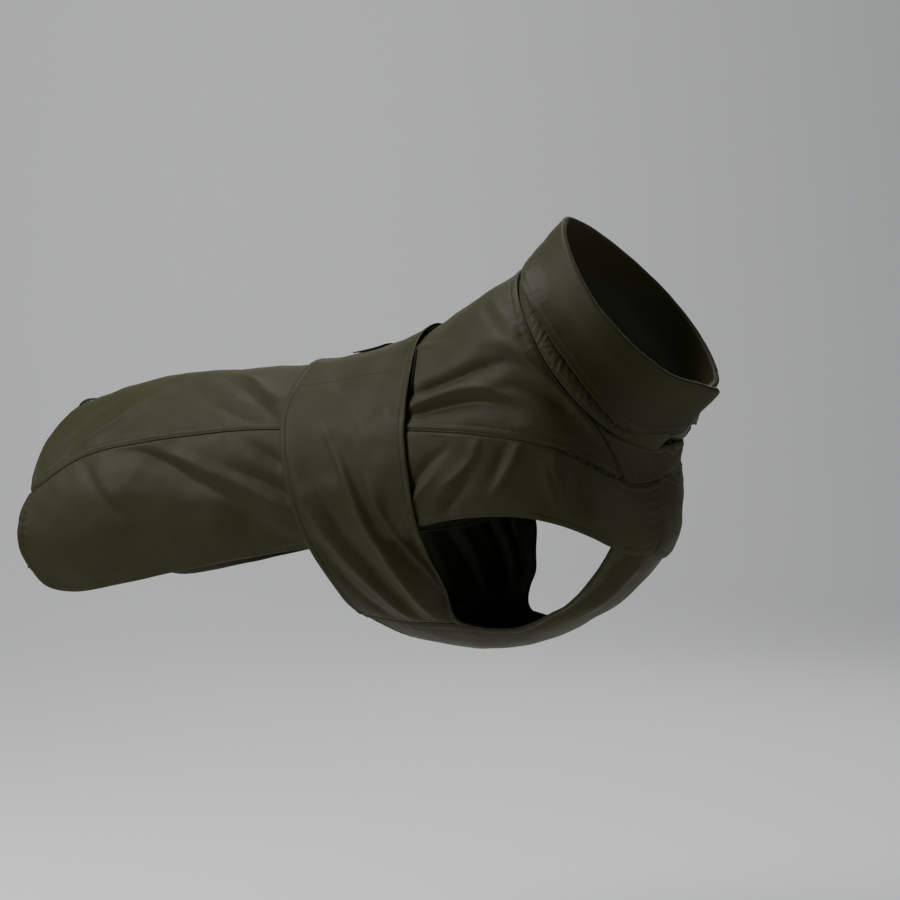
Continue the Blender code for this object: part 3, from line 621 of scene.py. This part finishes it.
SIDE_FOLDS = {
    RIGHT: [
        ([(396, 114), (348, 136), (320, 154), (278, 182), (244, 216)], 6, 9, -4.0),
        ([(236, 174), (260, 156), (292, 144), (330, 119)], 6, 8, -3.6),
        ([(364, 117), (320, 138), (274, 160), (244, 198)], 5, 7, 2.2),
        ([(452, 114), (432, 144), (404, 174), (380, 196)], 5, 7, -2.1),
        ([(240, 142), (266, 124), (296, 106)], 5, 7, -2.9),
        ([(236, 218), (274, 198), (322, 178)], 10, 12, -2.7),
        ([(238, 204), (270, 190), (310, 166), (340, 150)], 4, 6, 1.7),
        ([(458, 198), (402, 214), (356, 218)], 14, 12, -1.7),
        ([(240, 188), (262, 170), (290, 155)], 4, 5, 1.7),
        ([(68, 206), (74, 212), (96, 228), (120, 242)], 4, 5, 2.7),
        ([(50, 232), (60, 240), (72, 264), (89, 298)], 4, 5, 2.9),
        ([(68, 236), (82, 266), (91, 290)], 3, 4, 1.7),
        ([(94, 184), (106, 198), (130, 208), (142, 224)], 4, 5, 2.2),
        ([(152, 212), (146, 202), (130, 190), (122, 180)], 3, 4, 1.8),
        ([(148, 196), (132, 180), (118, 175), (104, 173)], 5, 6, -3.1),
        ([(134, 224), (114, 210), (102, 195)], 5, 6, -2.5),
        ([(78, 202), (92, 214), (110, 232)], 6, 7, -2.9),
        ([(48, 248), (58, 262), (70, 286), (82, 308)], 6, 9, -2.7),
        ([(62, 300), (74, 322), (84, 340)], 8, 12, -1.3),
    ]}
SIDE_FOLDS[LEFT] = other_half(SIDE_FOLDS[RIGHT], -3, 0.98)


def from_centre(points):
    """Places on one flank, from (along, distance from the centre line below)."""
    points = np.array(points, float)
    return np.stack([points[:, 0], half_girth(points[:, 0]) - points[:, 1]], -1)


def tucked(side, start, end):
    """The lift near the opening, where the left side goes in under the right one."""
    # Start and end are drops from the centre line below, less than 0 on its own side.
    def lift(places):
        past = places[..., 1] - half_girth(places[..., 0])
        return -TUCK * ramp(past, start, end) if side == LEFT else 0.0
    return lift


flank_heights = {}
for side, word in ((RIGHT, "right"), (LEFT, "left")):
    shift = FRONT_OPENING if side == RIGHT else -FRONT_OPENING - UNDERLAP
    gape = 0 if side == RIGHT else OPENING_GAP
    yoke = from_centre([place for place in YOKE_SEAM if place[1] >= shift])[::-1]
    down = np.linspace(OPENING_TOP, OPENING_FOOT, 9)
    opening = from_centre(np.stack([down, shift + 0.3 + gape * ramp(down, 45, OPENING_FOOT)
                                    + 4 * ramp(down, OPENING_FOOT - 7, OPENING_FOOT)], -1))
    opening[0] = yoke[0]
    foot = np.concatenate([opening[-1:], from_centre([(86, shift + gape + 14)]), SIDE_HEM[::-1]])
    top = np.concatenate([yoke, PRINCESS_SEAM[1:]])
    edges = [(PRINCESS_SEAM, seam_under), (yoke, seam_over), (opening, hem), (foot, hem),
             (REAR_CORNER, hem)]
    flank_heights[side] = cloth_height(side, tucked(side, 8, 13.5), SIDE_FOLDS[side], edges,
                                       under_band)
    places = cut(past_seam(top, side, (300, 170)), foot, opening, REAR_CORNER, side)
    make_panel(f"side_panel_{word}", flank_heights[side], places,
               [(opening[:-1], STITCH_IN, (90, 260)),
                (np.concatenate([foot[:-1], REAR_CORNER[::-1]]), STITCH_IN, (300, 160)),
                (yoke, STITCH_IN, (90, 260))], side)

# ---------------------------------------------------------------- throat pieces
# Two short pieces of the same softshell between collar and flanks. They let the front open
# below the collar, and the right one laps over the left.
YOKE_LAP = {RIGHT: (12, 27), LEFT: (16, 14)}           # past the centre line, above and below
YOKE_FOLDS = [([(20, 240), (22, 262), (26, 282)], 5, 7, -2.0),
              ([(12, 262), (16, 280), (22, 300)], 5, 6, 1.3)]


def crease(away, run):
    """The dart, which is drawn in deep along its seam."""
    return -2.1 * np.exp(-(away / 1.5) ** 2) - 2.6 * np.exp(-(away / 4.2) ** 1.5)


def neck_along(drop):
    """Where the neck seam runs, round the whole neck."""
    table = np.array(NECK_SEAM, float)
    folded = np.where(np.abs(drop) > table[-1, 1], 2 * table[-1, 1] - np.abs(drop), np.abs(drop))
    return np.interp(folded, table[:, 1], table[:, 0])


for side, word in ((RIGHT, "right"), (LEFT, "left")):
    neck_lap, lower_lap = YOKE_LAP[side]
    neck_drop = np.linspace(DART_SEAM[0][1], float(half_girth(7.0)) + neck_lap, 12)
    neck = np.stack([neck_along(neck_drop), neck_drop], -1)
    seam = from_centre([(a, c) for a, c in YOKE_SEAM if c >= -lower_lap])
    closing = [neck[-1], (seam[-1] + neck[-1]) / 2, seam[-1]]
    edges = [(neck, seam_over), (seam, seam_under), (DART_SEAM, crease), (closing, hem)]
    height = cloth_height(side, tucked(side, -45, -22), YOKE_FOLDS, edges)
    middle = (26, 290)
    places = cut(neck, past_seam(seam, side, middle), past_seam(DART_SEAM, side, middle), closing,
                 side, step=3.0)
    make_panel(f"front_yoke_{word}", height, places,
               [(neck, STITCH_IN, (26, 280)), (closing, STITCH_IN, (26, 280))], side)

# ---------------------------------------------------------------- chest panel
# The strip between the forelegs, from under the front to the middle of the belly band.
# Both long edges are hemmed, and its front end is tucked under the flanks and sewn there.
CHEST_HALF_WIDTH = np.array([(55, 66), (70, 64), (88, 62), (102, 60), (112, 57), (126, 50),
                             (137, 49), (148, 54), (158, 66.5), (190, 66), (222, 61.5)], float)
CHEST_TOP, CHEST_REAR = 55, (203, 222)     # along: its front, and the rear's middle and corners
CHEST_TUCK = 2.5       # its front end goes in by this under the flanks
WING_SEAM = (158, 222)                     # along, where the belly band is sewn to it
CHEST_FOLDS = [([(82, 366), (96, 369), (112, 373), (130, 371), (152, 362)], 8, 9, -5.5),
               ([(92, 388), (110, 390), (134, 388)], 6, 8, 2.4),
               ([(98, 452), (112, 446), (134, 446)], 8, 9, -4.0)]


def chest_width(along):
    """Half the width of the chest panel."""
    return smooth_through(CHEST_HALF_WIDTH[:, 0], CHEST_HALF_WIDTH[:, 1:], along)[..., 0]


def chest_line(along, across):
    """Places along the chest panel: across is 1 at its right edge and -1 at its left one."""
    middle = CHEST_TOP + (along - CHEST_TOP) / (CHEST_REAR[1] - CHEST_TOP) * (
        CHEST_REAR[0] - CHEST_TOP)
    bent = middle + (along - middle) * across ** 2
    return np.stack([bent, half_girth(bent) - chest_width(along) * across], -1)


long_run = np.concatenate([np.linspace(CHEST_TOP, WING_SEAM[0], 16)[:-1],
                           np.linspace(*WING_SEAM, 9)])
right_edge, left_edge = (chest_line(long_run, 0 * long_run + across) for across in (1, -1))
crosswise = np.linspace(1, -1, 15)
front_edge = chest_line(0 * crosswise + CHEST_TOP, crosswise)
rear_edge = chest_line(0 * crosswise + CHEST_REAR[1], crosswise)
chest_edges = [(right_edge[:16], hem), (left_edge[:16], hem), (rear_edge, hem),
               (right_edge[15:], seam_over), (left_edge[15:], seam_over)]
chest_height = cloth_height(
    RIGHT, lambda places: -CHEST_TUCK * (1 - ramp(places[..., 0], 92, 124)), CHEST_FOLDS,
    chest_edges)
keel = (140, float(half_girth(140.0)))
places = cut(past_seam(right_edge, RIGHT, keel), past_seam(left_edge, RIGHT, keel), front_edge,
             rear_edge, RIGHT)
make_panel("chest_panel", chest_height, places,
           [(edge, STITCH_IN, keel) for edge in (right_edge, left_edge, rear_edge)], RIGHT)

# ---------------------------------------------------------------- belly band
# Two wings of softshell sewn to the chest panel. They wrap up round the girth over the side
# panels, and the right one closes on the back over the left, held by hook and loop tape.
LAYER_GAP = 0.9        # air between the band and what it lies on
BAND_SLACK = 2.6       # it bellies out by this between flank and brisket
BAND_END = {RIGHT: -66, LEFT: -24}         # drop at which each wing ends, past the spine
BAND_FOLDS = {
    RIGHT: [
        ([(163, 306), (164, 250), (170, 216), (174, 186), (176, 156), (176, 112)], 6, 7, -7.0),
        ([(169, 308), (172, 246), (178, 198), (182, 166), (190, 130), (206, 70)], 5, 6, 4.4),
        ([(178, 304), (188, 244), (198, 208), (208, 168), (218, 118)], 6, 7, -4.4),
        ([(182, 306), (192, 262), (205, 226), (217, 190), (226, 144)], 5, 6, 2.9),
        ([(162, 308), (158, 270), (158, 240), (159, 196), (156, 170)], 8, 7, -9.1),
        ([(161, 300), (160, 262), (163, 224), (167, 180), (168, 150)], 3, 4, 3.9),
        ([(196, 300), (210, 254), (222, 214), (231, 170)], 6, 8, -2.9),
        ([(160, 126), (174, 88), (206, 38)], 8, 9, -1.8),
        ([(222, 180), (229, 140), (236, 98)], 7, 9, 1.6),
        ([(148, 150), (140, 112), (130, 70)], 7, 9, 1.2),
    ]}
BAND_FOLDS[LEFT] = other_half(BAND_FOLDS[RIGHT][:-3], 2, 0.98)


def band_line(table, end):
    """One edge of the band, cut off where a wing ends."""
    kept = [p for p in table if p[1] > end + 6]
    past = np.array(table[::-1], float)
    return kept + [(np.interp(end, past[:, 1], past[:, 0]), end)]


for side, word in ((RIGHT, "right"), (LEFT, "left")):
    front, rear = band_line(BAND_FRONT, BAND_END[side]), band_line(BAND_REAR, BAND_END[side])
    seam_along = np.linspace(*WING_SEAM, 9)
    seam = np.stack([seam_along, half_girth(seam_along) - chest_width(seam_along)], -1)
    front[0], rear[0] = tuple(seam[0]), tuple(seam[-1])
    end = [front[-1], ((front[-1][0] + rear[-1][0]) / 2, BAND_END[side]), rear[-1]]

    def wing_lift(places, side=side):
        # The band lies over the flank, and runs down to the chest panel's own height.
        drop = places[..., 1]
        layer = CLOTH + LAYER_GAP + 0.1
        lift = layer * (1 - ramp(drop, 232, 318))
        tight = along_at(BAND_FRONT, drop)
        slack = BAND_SLACK * ramp(drop, 128, 200) * (1 - ramp(drop, 268, 322)) * ramp(
            places[..., 0], tight + 2, tight + 24)
        if side == RIGHT:
            # It stands off over the tape inside it, most of all where it crosses the spine.
            lift = lift + (1.0 + 1.5 * (1 - ramp(drop, 24, 56))) * (1 - ramp(drop, 108, 150))
        return lift + slack

    def on_flank(places, side=side):
        # The wing can't sink into the flank, and is free past the flank's hem.
        along, drop = places[..., 0], places[..., 1]
        flank_hem = np.interp(along, *np.array(SIDE_HEM[::-1], float).T)
        free = np.maximum(ramp(drop - flank_hem, 1, 18), 1 - ramp(drop, 100, 130))
        return flank_heights[side](places)[2] + CLOTH + 0.4 - 16 * free

    edges = [(front, hem), (rear, hem), (end, hem), (seam, seam_under)]
    height = cloth_height(side, wing_lift, BAND_FOLDS[side], edges, lowest=on_flank)
    middle = (190, 120)
    places = cut(front, rear, past_seam(seam, side, middle), end, side)
    # The front edge has a second row, close to it.
    rows = [(front, STITCH_IN, middle), (front, 2.0, middle), (rear, STITCH_IN, middle),
            (end, STITCH_IN, middle)]
    if side == RIGHT:
        # The tape inside the wing is sewn through it, so its seam shows outside.
        rows.append(([(132, 71), (177, 60), (238, 62)], 0, middle))
    make_panel(f"belly_band_{word}", height, places, rows, side)

# ---------------------------------------------------------------- loop tape on the back
# Black brushed nylon loop, 50 mm wide, sewn on the back panel. The right wing closes on it,
# and a sliver of it shows ahead of the wing.
TAPE_DROP, TAPE_LONG, TAPE_OUT = (57, 106), 50, 1.15
TAPE_AHEAD = 2.2       # what shows of it ahead of the wing
# Loop tape: a dull black pile that catches a little light at its edges.
loop_tape = cloth_material("brushed_nylon_loop", "#0D0D0E", "#1A1A1C", 1.2, 0.95, 0.3, 1.0)
tape_drop = np.linspace(*TAPE_DROP, 40)
tape_front = along_at(BAND_FRONT, tape_drop) - TAPE_AHEAD
tape_along = tape_front[None] + np.linspace(0, TAPE_LONG, 30)[:, None]
places = np.stack([tape_along, np.broadcast_to(tape_drop, tape_along.shape)], -1)
base, normal, lift = back_height(places)
tape = sheet_mesh("back_loop_tape", base + normal * (lift[..., None] + TAPE_OUT), normal,
                  [loop_tape], thick=1.0)
finish_piece(tape, "back_tape")

# ---------------------------------------------------------------- bare patch
# A small patch of moulded black plastic, 38 by 20 mm, sewn on top of the band along the
# spine. Its face is bare, with a sunk line round its edge. It reads as half matt.
patch_material, patch_shader = new_material("moulded_soft_plastic")
speck = add_node(patch_material, "ShaderNodeTexNoise",
                 {"Vector": (add_node(patch_material, "ShaderNodeTexCoord"), "Object"),
                  "Scale": 1400.0, "Detail": 3.0})
speck_dull = add_node(patch_material, "ShaderNodeMapRange",
                      {"Value": (speck, "Fac"), "To Min": 0.42, "To Max": 0.60})
speck_bump = add_node(patch_material, "ShaderNodeBump",
                      {"Height": (speck, "Fac"), "Strength": 0.3, "Distance": 0.05 * MM})
set_inputs(patch_material, patch_shader,
           {"Base Color": linear("#101011"), "IOR": 1.5, "Roughness": (speck_dull, "Result"),
            "Normal": (speck_bump, "Normal")})

PATCH_ALONG, PATCH_LONG, PATCH_WIDE, PATCH_CORNER = 156, 38, 20, 3.0
PATCH_OUT = 3 * CLOTH + 3 * LAYER_GAP + 1.3            # it lies on both wings and the back
u = np.linspace(-1, 1, 41)
v = np.linspace(-1, 1, 25)
corner = np.clip((np.abs(u[:, None]) * PATCH_LONG / 2 - PATCH_LONG / 2 + PATCH_CORNER)
                 / PATCH_CORNER, 0, 1)
half_wide = PATCH_WIDE / 2 - PATCH_CORNER * (1 - np.sqrt(1 - corner ** 2))
places = np.stack(np.broadcast_arrays(PATCH_ALONG + PATCH_LONG / 2 * (1 + u[:, None]),
                                      half_wide * v[None, :]), -1)
base, normal = faced(places, RIGHT)
rim_in = np.minimum((1 - np.abs(u))[:, None] * PATCH_LONG / 2,
                    (1 - np.abs(v))[None] * PATCH_WIDE / 2)
crown = (0.25 * ramp(rim_in, 0, 0.8) - 0.22 * np.exp(-((rim_in - 1.9) / 0.5) ** 2))
label = sheet_mesh("bare_patch", base + normal * (PATCH_OUT + crown)[..., None], normal,
                   [patch_material], thick=1.0)
finish_piece(label, "label_blank")

# ---------------------------------------------------------------- collar
# One piece of softshell round the neck: a stand, rolled over at the rim, and a deep
# turned-down part with a topstitched edge. Its right end closes over its left at the throat.
COLLAR_START = 1.3     # its own seam allowance above the neck seam
COLLAR_LAP = {"rim": 8, "neck": -24}       # right end, past the centre line
COLLAR_UNDER = 24      # left end, past the centre line, under the right one
CLOSING_LIFT = 4.4     # the right end stands out by this where it closes, and the left one in
COLLAR_INSET = 5.0     # it leans in by this toward the rim
# The rim is one more cross section, with the columns of FORM.
RIM = np.array([(134, 106, 276, -49, 74, .55, 1.65, 2.0)], float)
# By distance round the neck from the spine, in mm: the lower edge as a share of the collar's
# height, and how far the turned-down part stands out there.
FALL_EDGE = np.array([(0, .12), (60, .17), (110, .24), (150, .27), (190, .22), (215, .17),
                      (238, .20), (250, .27), (262, .33), (330, .35)], float)
FLARE = np.array([(0, 0.5), (60, 4.0), (95, 7.5), (150, 10), (225, 9.5), (278, 0), (330, 0)],
                 float)
ROLL, ROLL_HEIGHT = 2.3, 3.0               # the roll at the rim: half its depth, and its height
STAND_OUT = 0.8        # the stand's middle lies this far out from the neck
NECK_ROUND = float(half_girth(0.0))
COLLAR_ROUND = 2 * NECK_ROUND + 39         # from end to end


def collar_lines(around):
    """The neck seam and the rim, for places round the neck in mm from the spine."""
    along = neck_along(around)
    seam = on_form(along, around * half_girth(along) / NECK_ROUND, RIGHT)
    points, length = half_outline(np.repeat(RIM, len(around), 0))
    rim = down_outline(points, length, around * length[:, -1] / NECK_ROUND)
    rim[:, 1] *= RIGHT
    return seam, rim


def on_collar(around, height, out):
    """Points of the collar: round the neck, up from the seam, and out."""
    shape = around.shape
    around, height, out = around.ravel(), height.ravel()[:, None], out.ravel()[:, None]
    seam, rim = collar_lines(around)
    seam_a, rim_a = collar_lines(around - 5.0)
    seam_b, rim_b = collar_lines(around + 5.0)
    up = rim - seam
    share = height / np.linalg.norm(up, axis=-1, keepdims=True)
    round_way = (seam_b - seam_a) * (1 - share) + (rim_b - rim_a) * share
    normal = np.cross(round_way, up)
    normal /= np.linalg.norm(normal, axis=-1, keepdims=True)
    drawn_in = 0.8 * (1 - ramp(np.abs(around), 25, 100) + ramp(np.abs(around), 235, 285))[:, None]
    hollow = COLLAR_INSET * np.maximum(ramp(share, 0.05, 0.55), drawn_in)
    return ((seam + share * up + normal * (out - hollow)).reshape(shape + (3,)),
            normal.reshape(shape + (3,)))


STAND_POINTS, ROLL_POINTS, NOT_FALL = 14, 11, 99


def collar_section(tall, edge, flare):
    """Height and distance out of the cloth's middle: up the stand, over the roll, and down."""
    foot = tall - ROLL_HEIGHT
    stand = np.linspace(COLLAR_START, foot, STAND_POINTS + 1)[:-1]
    turn = np.radians(np.linspace(0, 180, ROLL_POINTS))
    fall_run = foot - edge
    near = EDGE_LINES[::-1] * min(1.0, fall_run / (1.6 * EDGE_LINES[-1]))
    fall = np.concatenate([np.linspace(foot, edge + near[0], 16)[1:-1], edge + near])
    height = np.concatenate([stand, foot + 2.2 * np.sin(turn), fall])
    flare_from = tall * 0.62
    out = np.concatenate([0 * stand + STAND_OUT, STAND_OUT + ROLL * (1 - np.cos(turn)),
                          STAND_OUT + 2 * ROLL + flare * np.clip(
                              (flare_from - fall) / flare_from, 0, 1) ** 1.2])
    from_edge = np.concatenate([0 * stand + NOT_FALL, 0 * turn + NOT_FALL, fall - edge])
    return height, out, from_edge


left_end = -(NECK_ROUND + COLLAR_UNDER)
# Sections from the left end to the right one, close together at both hems.
stations = np.concatenate([[0, .0006, .0016, .003, .0055, .008, .0105, .0125],
                           np.linspace(0.0165, 0.9835, 190),
                           [.9875, .9895, .992, .9945, .997, .9984, .9994, 1]])
height, out, around, from_edge, from_end = [], [], [], [], []
for s in stations:
    neck_at = left_end + s * (NECK_ROUND + COLLAR_LAP["neck"] - left_end)
    rim_at = left_end + s * (NECK_ROUND + COLLAR_LAP["rim"] - left_end)
    seam, rim = collar_lines(np.array([neck_at]))
    tall = float(np.linalg.norm(rim - seam))
    edge = max(tall * np.interp(abs(neck_at), *FALL_EDGE.T), 3.0)
    h, o, d = collar_section(tall, edge, np.interp(abs(neck_at), *FLARE.T))
    lap = CLOSING_LIFT * (ramp(neck_at, NECK_ROUND - 58, NECK_ROUND - 28)
                          - ramp(-neck_at, NECK_ROUND - 46, NECK_ROUND - 16))
    height.append(h)
    out.append(o + lap)
    around.append(neck_at + (rim_at - neck_at) * h / tall)
    from_edge.append(d)
    from_end.append(0 * h + min(s, 1 - s) * COLLAR_ROUND)
height, out, around, from_edge, from_end = map(np.array, (height, out, around, from_edge, from_end))
way = np.stack([np.gradient(height, axis=1), np.gradient(out, axis=1)], -1)
way /= np.linalg.norm(way, axis=-1, keepdims=True)
middle_line, _ = on_collar(around, height, out)
on_fall = ramp(np.arange(height.shape[1])[None, :] + 0 * height, STAND_POINTS + ROLL_POINTS - 1,
               STAND_POINTS + ROLL_POINTS + 5)
soft = (ripple(middle_line, 71, 95, 0.9) + ripple(middle_line, 72, 34, 0.18)) * on_fall
wave = np.sin(around / 21.0 + 0.8 * np.sin(around / 57.0)) * 0.9 * on_fall * ramp(
    -from_edge, -34, -4)
turned_down = from_edge < NOT_FALL
raised = CLOTH / 2 + soft + wave + (hem(from_edge, around) + hem(from_end, height)) * (
    turned_down) + hem(from_end, height) * ~turned_down * 0.3
points, normal = on_collar(around, height - way[..., 1] * raised, out + way[..., 0] * raised)
across = np.cross(np.gradient(points, axis=0), np.gradient(points, axis=1))
face_out = across / np.maximum(np.linalg.norm(across, axis=-1, keepdims=True), 1e-9)
# The collar is rolled over, so its outside is told from a row of the turned-down part.
if (face_out[:, 40] * normal[:, 40]).sum() * way[0, 40, 0] < 0:
    face_out = -face_out
collar = sheet_mesh("collar_cloth", points, face_out, [softshell, lining])
# Inside the fold it is the same cloth on both of its faces.
collar.modifiers["cloth thickness"].material_offset = 0

bm = bmesh.new()
stitched = -1 - list(EDGE_LINES).index(STITCH_IN)
thread_line(bm, points[8:-8, stitched], face_out[8:-8, stitched])
thread_line(bm, points[-7, 28:-8], face_out[-7, 28:-8])
collar_thread = smooth_object("collar_stitching", bm, thread)
finish_piece(collar, "collar", pieces=[collar_thread])

# ---------------------------------------------------------------- neck casing
# A narrow casing of the same cloth over an elastic, sewn on just above the neck seam. The
# elastic gathers it into small folds, and it shows below the turned-down part.
CASING_START, CASING_WIDTH = 2.2, 17       # up the stand, from the neck seam
CASING_END = 246       # it ends this far round on each flank, under the closing
GATHERS = 14           # waves that are summed to make its small folds
row_height = np.concatenate([[0, .5, 1.2], np.linspace(2.2, CASING_WIDTH - 2.2, 14),
                             [CASING_WIDTH - 1.2, CASING_WIDTH - .5, CASING_WIDTH]])
length_run = np.linspace(-CASING_END, CASING_END, 901)[:, None]
height = np.broadcast_to(CASING_START + row_height, (len(length_run), len(row_height)))
share = row_height[None, :] / CASING_WIDTH
belly = np.sin(math.pi * share) ** 0.8
edge_in = np.minimum(row_height, CASING_WIDTH - row_height)[None, :]
rng = np.random.default_rng(5)
gather = np.zeros(height.shape)
for _ in range(GATHERS):
    round_part = length_run / rng.uniform(5, 12)
    up_part = row_height[None, :] / rng.uniform(8, 26) * rng.choice((-1, 1))
    gather += np.sin(2 * math.pi * (round_part + up_part) + rng.uniform(0, 2 * math.pi))
gather = np.tanh(gather / 3.2) * (0.5 + 0.5 * belly)
out = (3.1 + 0.8 * belly + 0.32 * gather - 0.7 * np.clip(1 - edge_in / 1.2, 0, 1) ** 2
       - 0.5 * np.exp(-((edge_in - 2.6) / 0.8) ** 2))
around = np.broadcast_to(length_run, height.shape)
points, normal = on_collar(around, height, out)
casing = sheet_mesh("neck_casing_cloth", points, normal, [softshell], thick=1.2)
bm = bmesh.new()
for row in (3, -4):
    thread_line(bm, points[:, row], normal[:, row], pitch=3.0)
casing_thread = smooth_object("neck_casing_stitching", bm, thread)
finish_piece(casing, "neck_casing", pieces=[casing_thread])

# ---------------------------------------------------------------- hook tape at the throat
# Black nylon hook tape with a round end, sewn inside the collar's right end. It closes on
# the left end, and its edge stands out past the cloth.
HOOK_LOW, HOOK_HIGH = 19, 53               # up the collar, from the neck seam
HOOK_UNDER, HOOK_PAST = 10, 14             # under the cloth, and past its end
HOOK_OUT = 8.7         # out from the neck, on the inside of the turned-down part
# Hook tape: dead black, with no sheen.
hook_tape = cloth_material("moulded_nylon_hook", "#050506", "#101012", 1.5, 0.85, 0.0, 1.0)
tape_height = np.linspace(HOOK_LOW, HOOK_HIGH, 35)
seam, rim = collar_lines(np.array([NECK_ROUND]))
share_up = tape_height / np.linalg.norm(rim - seam)
collar_end = NECK_ROUND + COLLAR_LAP["neck"] + (COLLAR_LAP["rim"] - COLLAR_LAP["neck"]) * share_up
from_middle = (tape_height - (HOOK_LOW + HOOK_HIGH) / 2) / ((HOOK_HIGH - HOOK_LOW) / 2)
bulge = HOOK_PAST * np.clip(1 - from_middle ** 6, 0, 1) ** 0.5
across_tape = np.linspace(-HOOK_UNDER, 1, 23)[None, :]
past_end = np.where(across_tape < 0, across_tape, across_tape * bulge[:, None])
around = collar_end[:, None] + past_end
level = HOOK_OUT - 3.0 * ramp(past_end, 1, HOOK_PAST + 1)
points, normal = on_collar(around, np.broadcast_to(tape_height[:, None], around.shape), level)
closing_tape = sheet_mesh("collar_hook_tape", points, normal, [hook_tape], thick=1.0)
finish_piece(closing_tape, "collar_tape")

# ---------------------------------------------------------------- tail loop
# A small loop of dark grey binding, 9 mm wide, sewn over the middle of the rear hem. It
# stands a little off the cloth, and its ribs show as fine lines across it.
LOOP_ALONG, LOOP_WIDE = (500, 518), 9
binding = cloth_material("woven_polyester_binding", "#2A2C2D", "#3F4247", 0.9, 0.6, 0.1, 0.5)
loop_along = np.linspace(*LOOP_ALONG, 25)
loop_drop = np.linspace(-LOOP_WIDE / 2, LOOP_WIDE / 2, 11)
places = np.stack(np.meshgrid(loop_along, loop_drop, indexing="ij"), -1)
base, normal = faced(places, RIGHT)
arch = 0.5 + 2.9 * np.sin(math.pi * np.linspace(0, 1, 25)) ** 0.7
loop = sheet_mesh("tail_loop_binding", base + normal * (CLOTH + 1.0 + arch[:, None, None]),
                  normal, [binding], thick=1.0)
finish_piece(loop, "tail_loop")

# ---------------------------------------------------------------- studio
# White paper that curves up into a backdrop, and a long lens at the height of the coat's
# middle. Soft lights from the left above and from on top shape the folds. A fill from the
# right, one from behind and one on the backdrop lift what they leave dark.
AZIMUTH, ELEVATION, CAMERA_AWAY = math.radians(30), math.radians(4), 3.2
FLOOR_Z, FLOOR_FRONT, FLOOR_HALF_WIDE = -0.62, -3.6, 7.0
PAPER_LONG, PAPER_FLAT, PAPER_BEND = 9.5, 6.2, 1.6     # all of it, before the bend, its radius
bm = bmesh.new()
bmesh.ops.create_grid(bm, x_segments=1, y_segments=48, size=1.0)
for vertex in bm.verts:
    run = (vertex.co.y + 1) / 2 * PAPER_LONG
    bend = max(0.0, run - PAPER_FLAT)
    angle = min(bend / PAPER_BEND, math.pi / 2)
    rise = PAPER_BEND * (1 - math.cos(angle)) + max(0.0, bend - PAPER_BEND * math.pi / 2)
    vertex.co = Vector((vertex.co.x * FLOOR_HALF_WIDE,
                        FLOOR_FRONT + min(run, PAPER_FLAT) + PAPER_BEND * math.sin(angle),
                        FLOOR_Z + rise))
bmesh.ops.rotate(bm, verts=bm.verts, cent=(0, 0, 0), matrix=Matrix.Rotation(AZIMUTH, 3, "Z"))
# Background paper: white and dead matt, so that it only shows where the light falls off.
paper, paper_shader = new_material("matt_background_paper")
set_inputs(paper, paper_shader, {"Base Color": linear("#EDEEEF"), "Roughness": 0.9})
smooth_object("studio_floor", bm, paper)

world = bpy.data.worlds.new("studio_air")
world.use_nodes = True
world.node_tree.nodes["Background"].inputs["Color"].default_value = linear("#E4E6EA")
world.node_tree.nodes["Background"].inputs["Strength"].default_value = 0.09
bpy.context.scene.world = world

# The picture's own axes: back to the camera, across to the right, and up.
BACK = Vector((math.sin(AZIMUTH) * math.cos(ELEVATION), -math.cos(AZIMUTH) * math.cos(ELEVATION),
               math.sin(ELEVATION)))
ACROSS = Vector((math.cos(AZIMUTH), math.sin(AZIMUTH), 0))
AIM = Vector((0.0118, -0.0020, -0.1092))
UP = BACK.cross(ACROSS)
# Each light's place and aim are in metres across, up and back from the aim of the camera.
for name, place, aim, size, power in (
        ("key_from_left_above", (-1.65, 0.95, 0.3), (0, 0, 0), (0.7, 0.7), 25),
        ("top_light", (-0.45, 1.9, -0.4), (0, 0, 0), (1.1, 0.7), 28),
        ("fill_from_right", (1.7, -0.35, 1.3), (0, 0, 0), (1.4, 1.6), 12),
        ("rim_from_behind", (0.6, 1.3, -1.9), (0, 0, 0), (1.6, 1.0), 14),
        ("backdrop_light", (-0.6, 1.5, -2.4), (-0.4, 0.1, -4.6), (2.0, 1.0), 15)):
    light = bpy.data.lights.new(name, "AREA")
    light.shape = "RECTANGLE"
    light.size, light.size_y = size
    light.energy = power
    lamp = bpy.data.objects.new(name, light)
    lamp.location = AIM + ACROSS * place[0] + UP * place[1] + BACK * place[2]
    spot = AIM + ACROSS * aim[0] + UP * aim[1] + BACK * aim[2]
    lamp.rotation_mode = "QUATERNION"
    lamp.rotation_quaternion = (spot - lamp.location).to_track_quat("-Z", "Y")
    bpy.context.scene.collection.objects.link(lamp)

lens = bpy.data.cameras.new("camera")
lens.lens, lens.sensor_width = 139.1, 36.0
camera = bpy.data.objects.new("camera", lens)
camera.location = AIM + BACK * CAMERA_AWAY
camera.rotation_mode = "QUATERNION"
camera.rotation_quaternion = Matrix((ACROSS, UP, BACK)).transposed().to_quaternion()
bpy.context.scene.collection.objects.link(camera)
bpy.context.scene.camera = camera
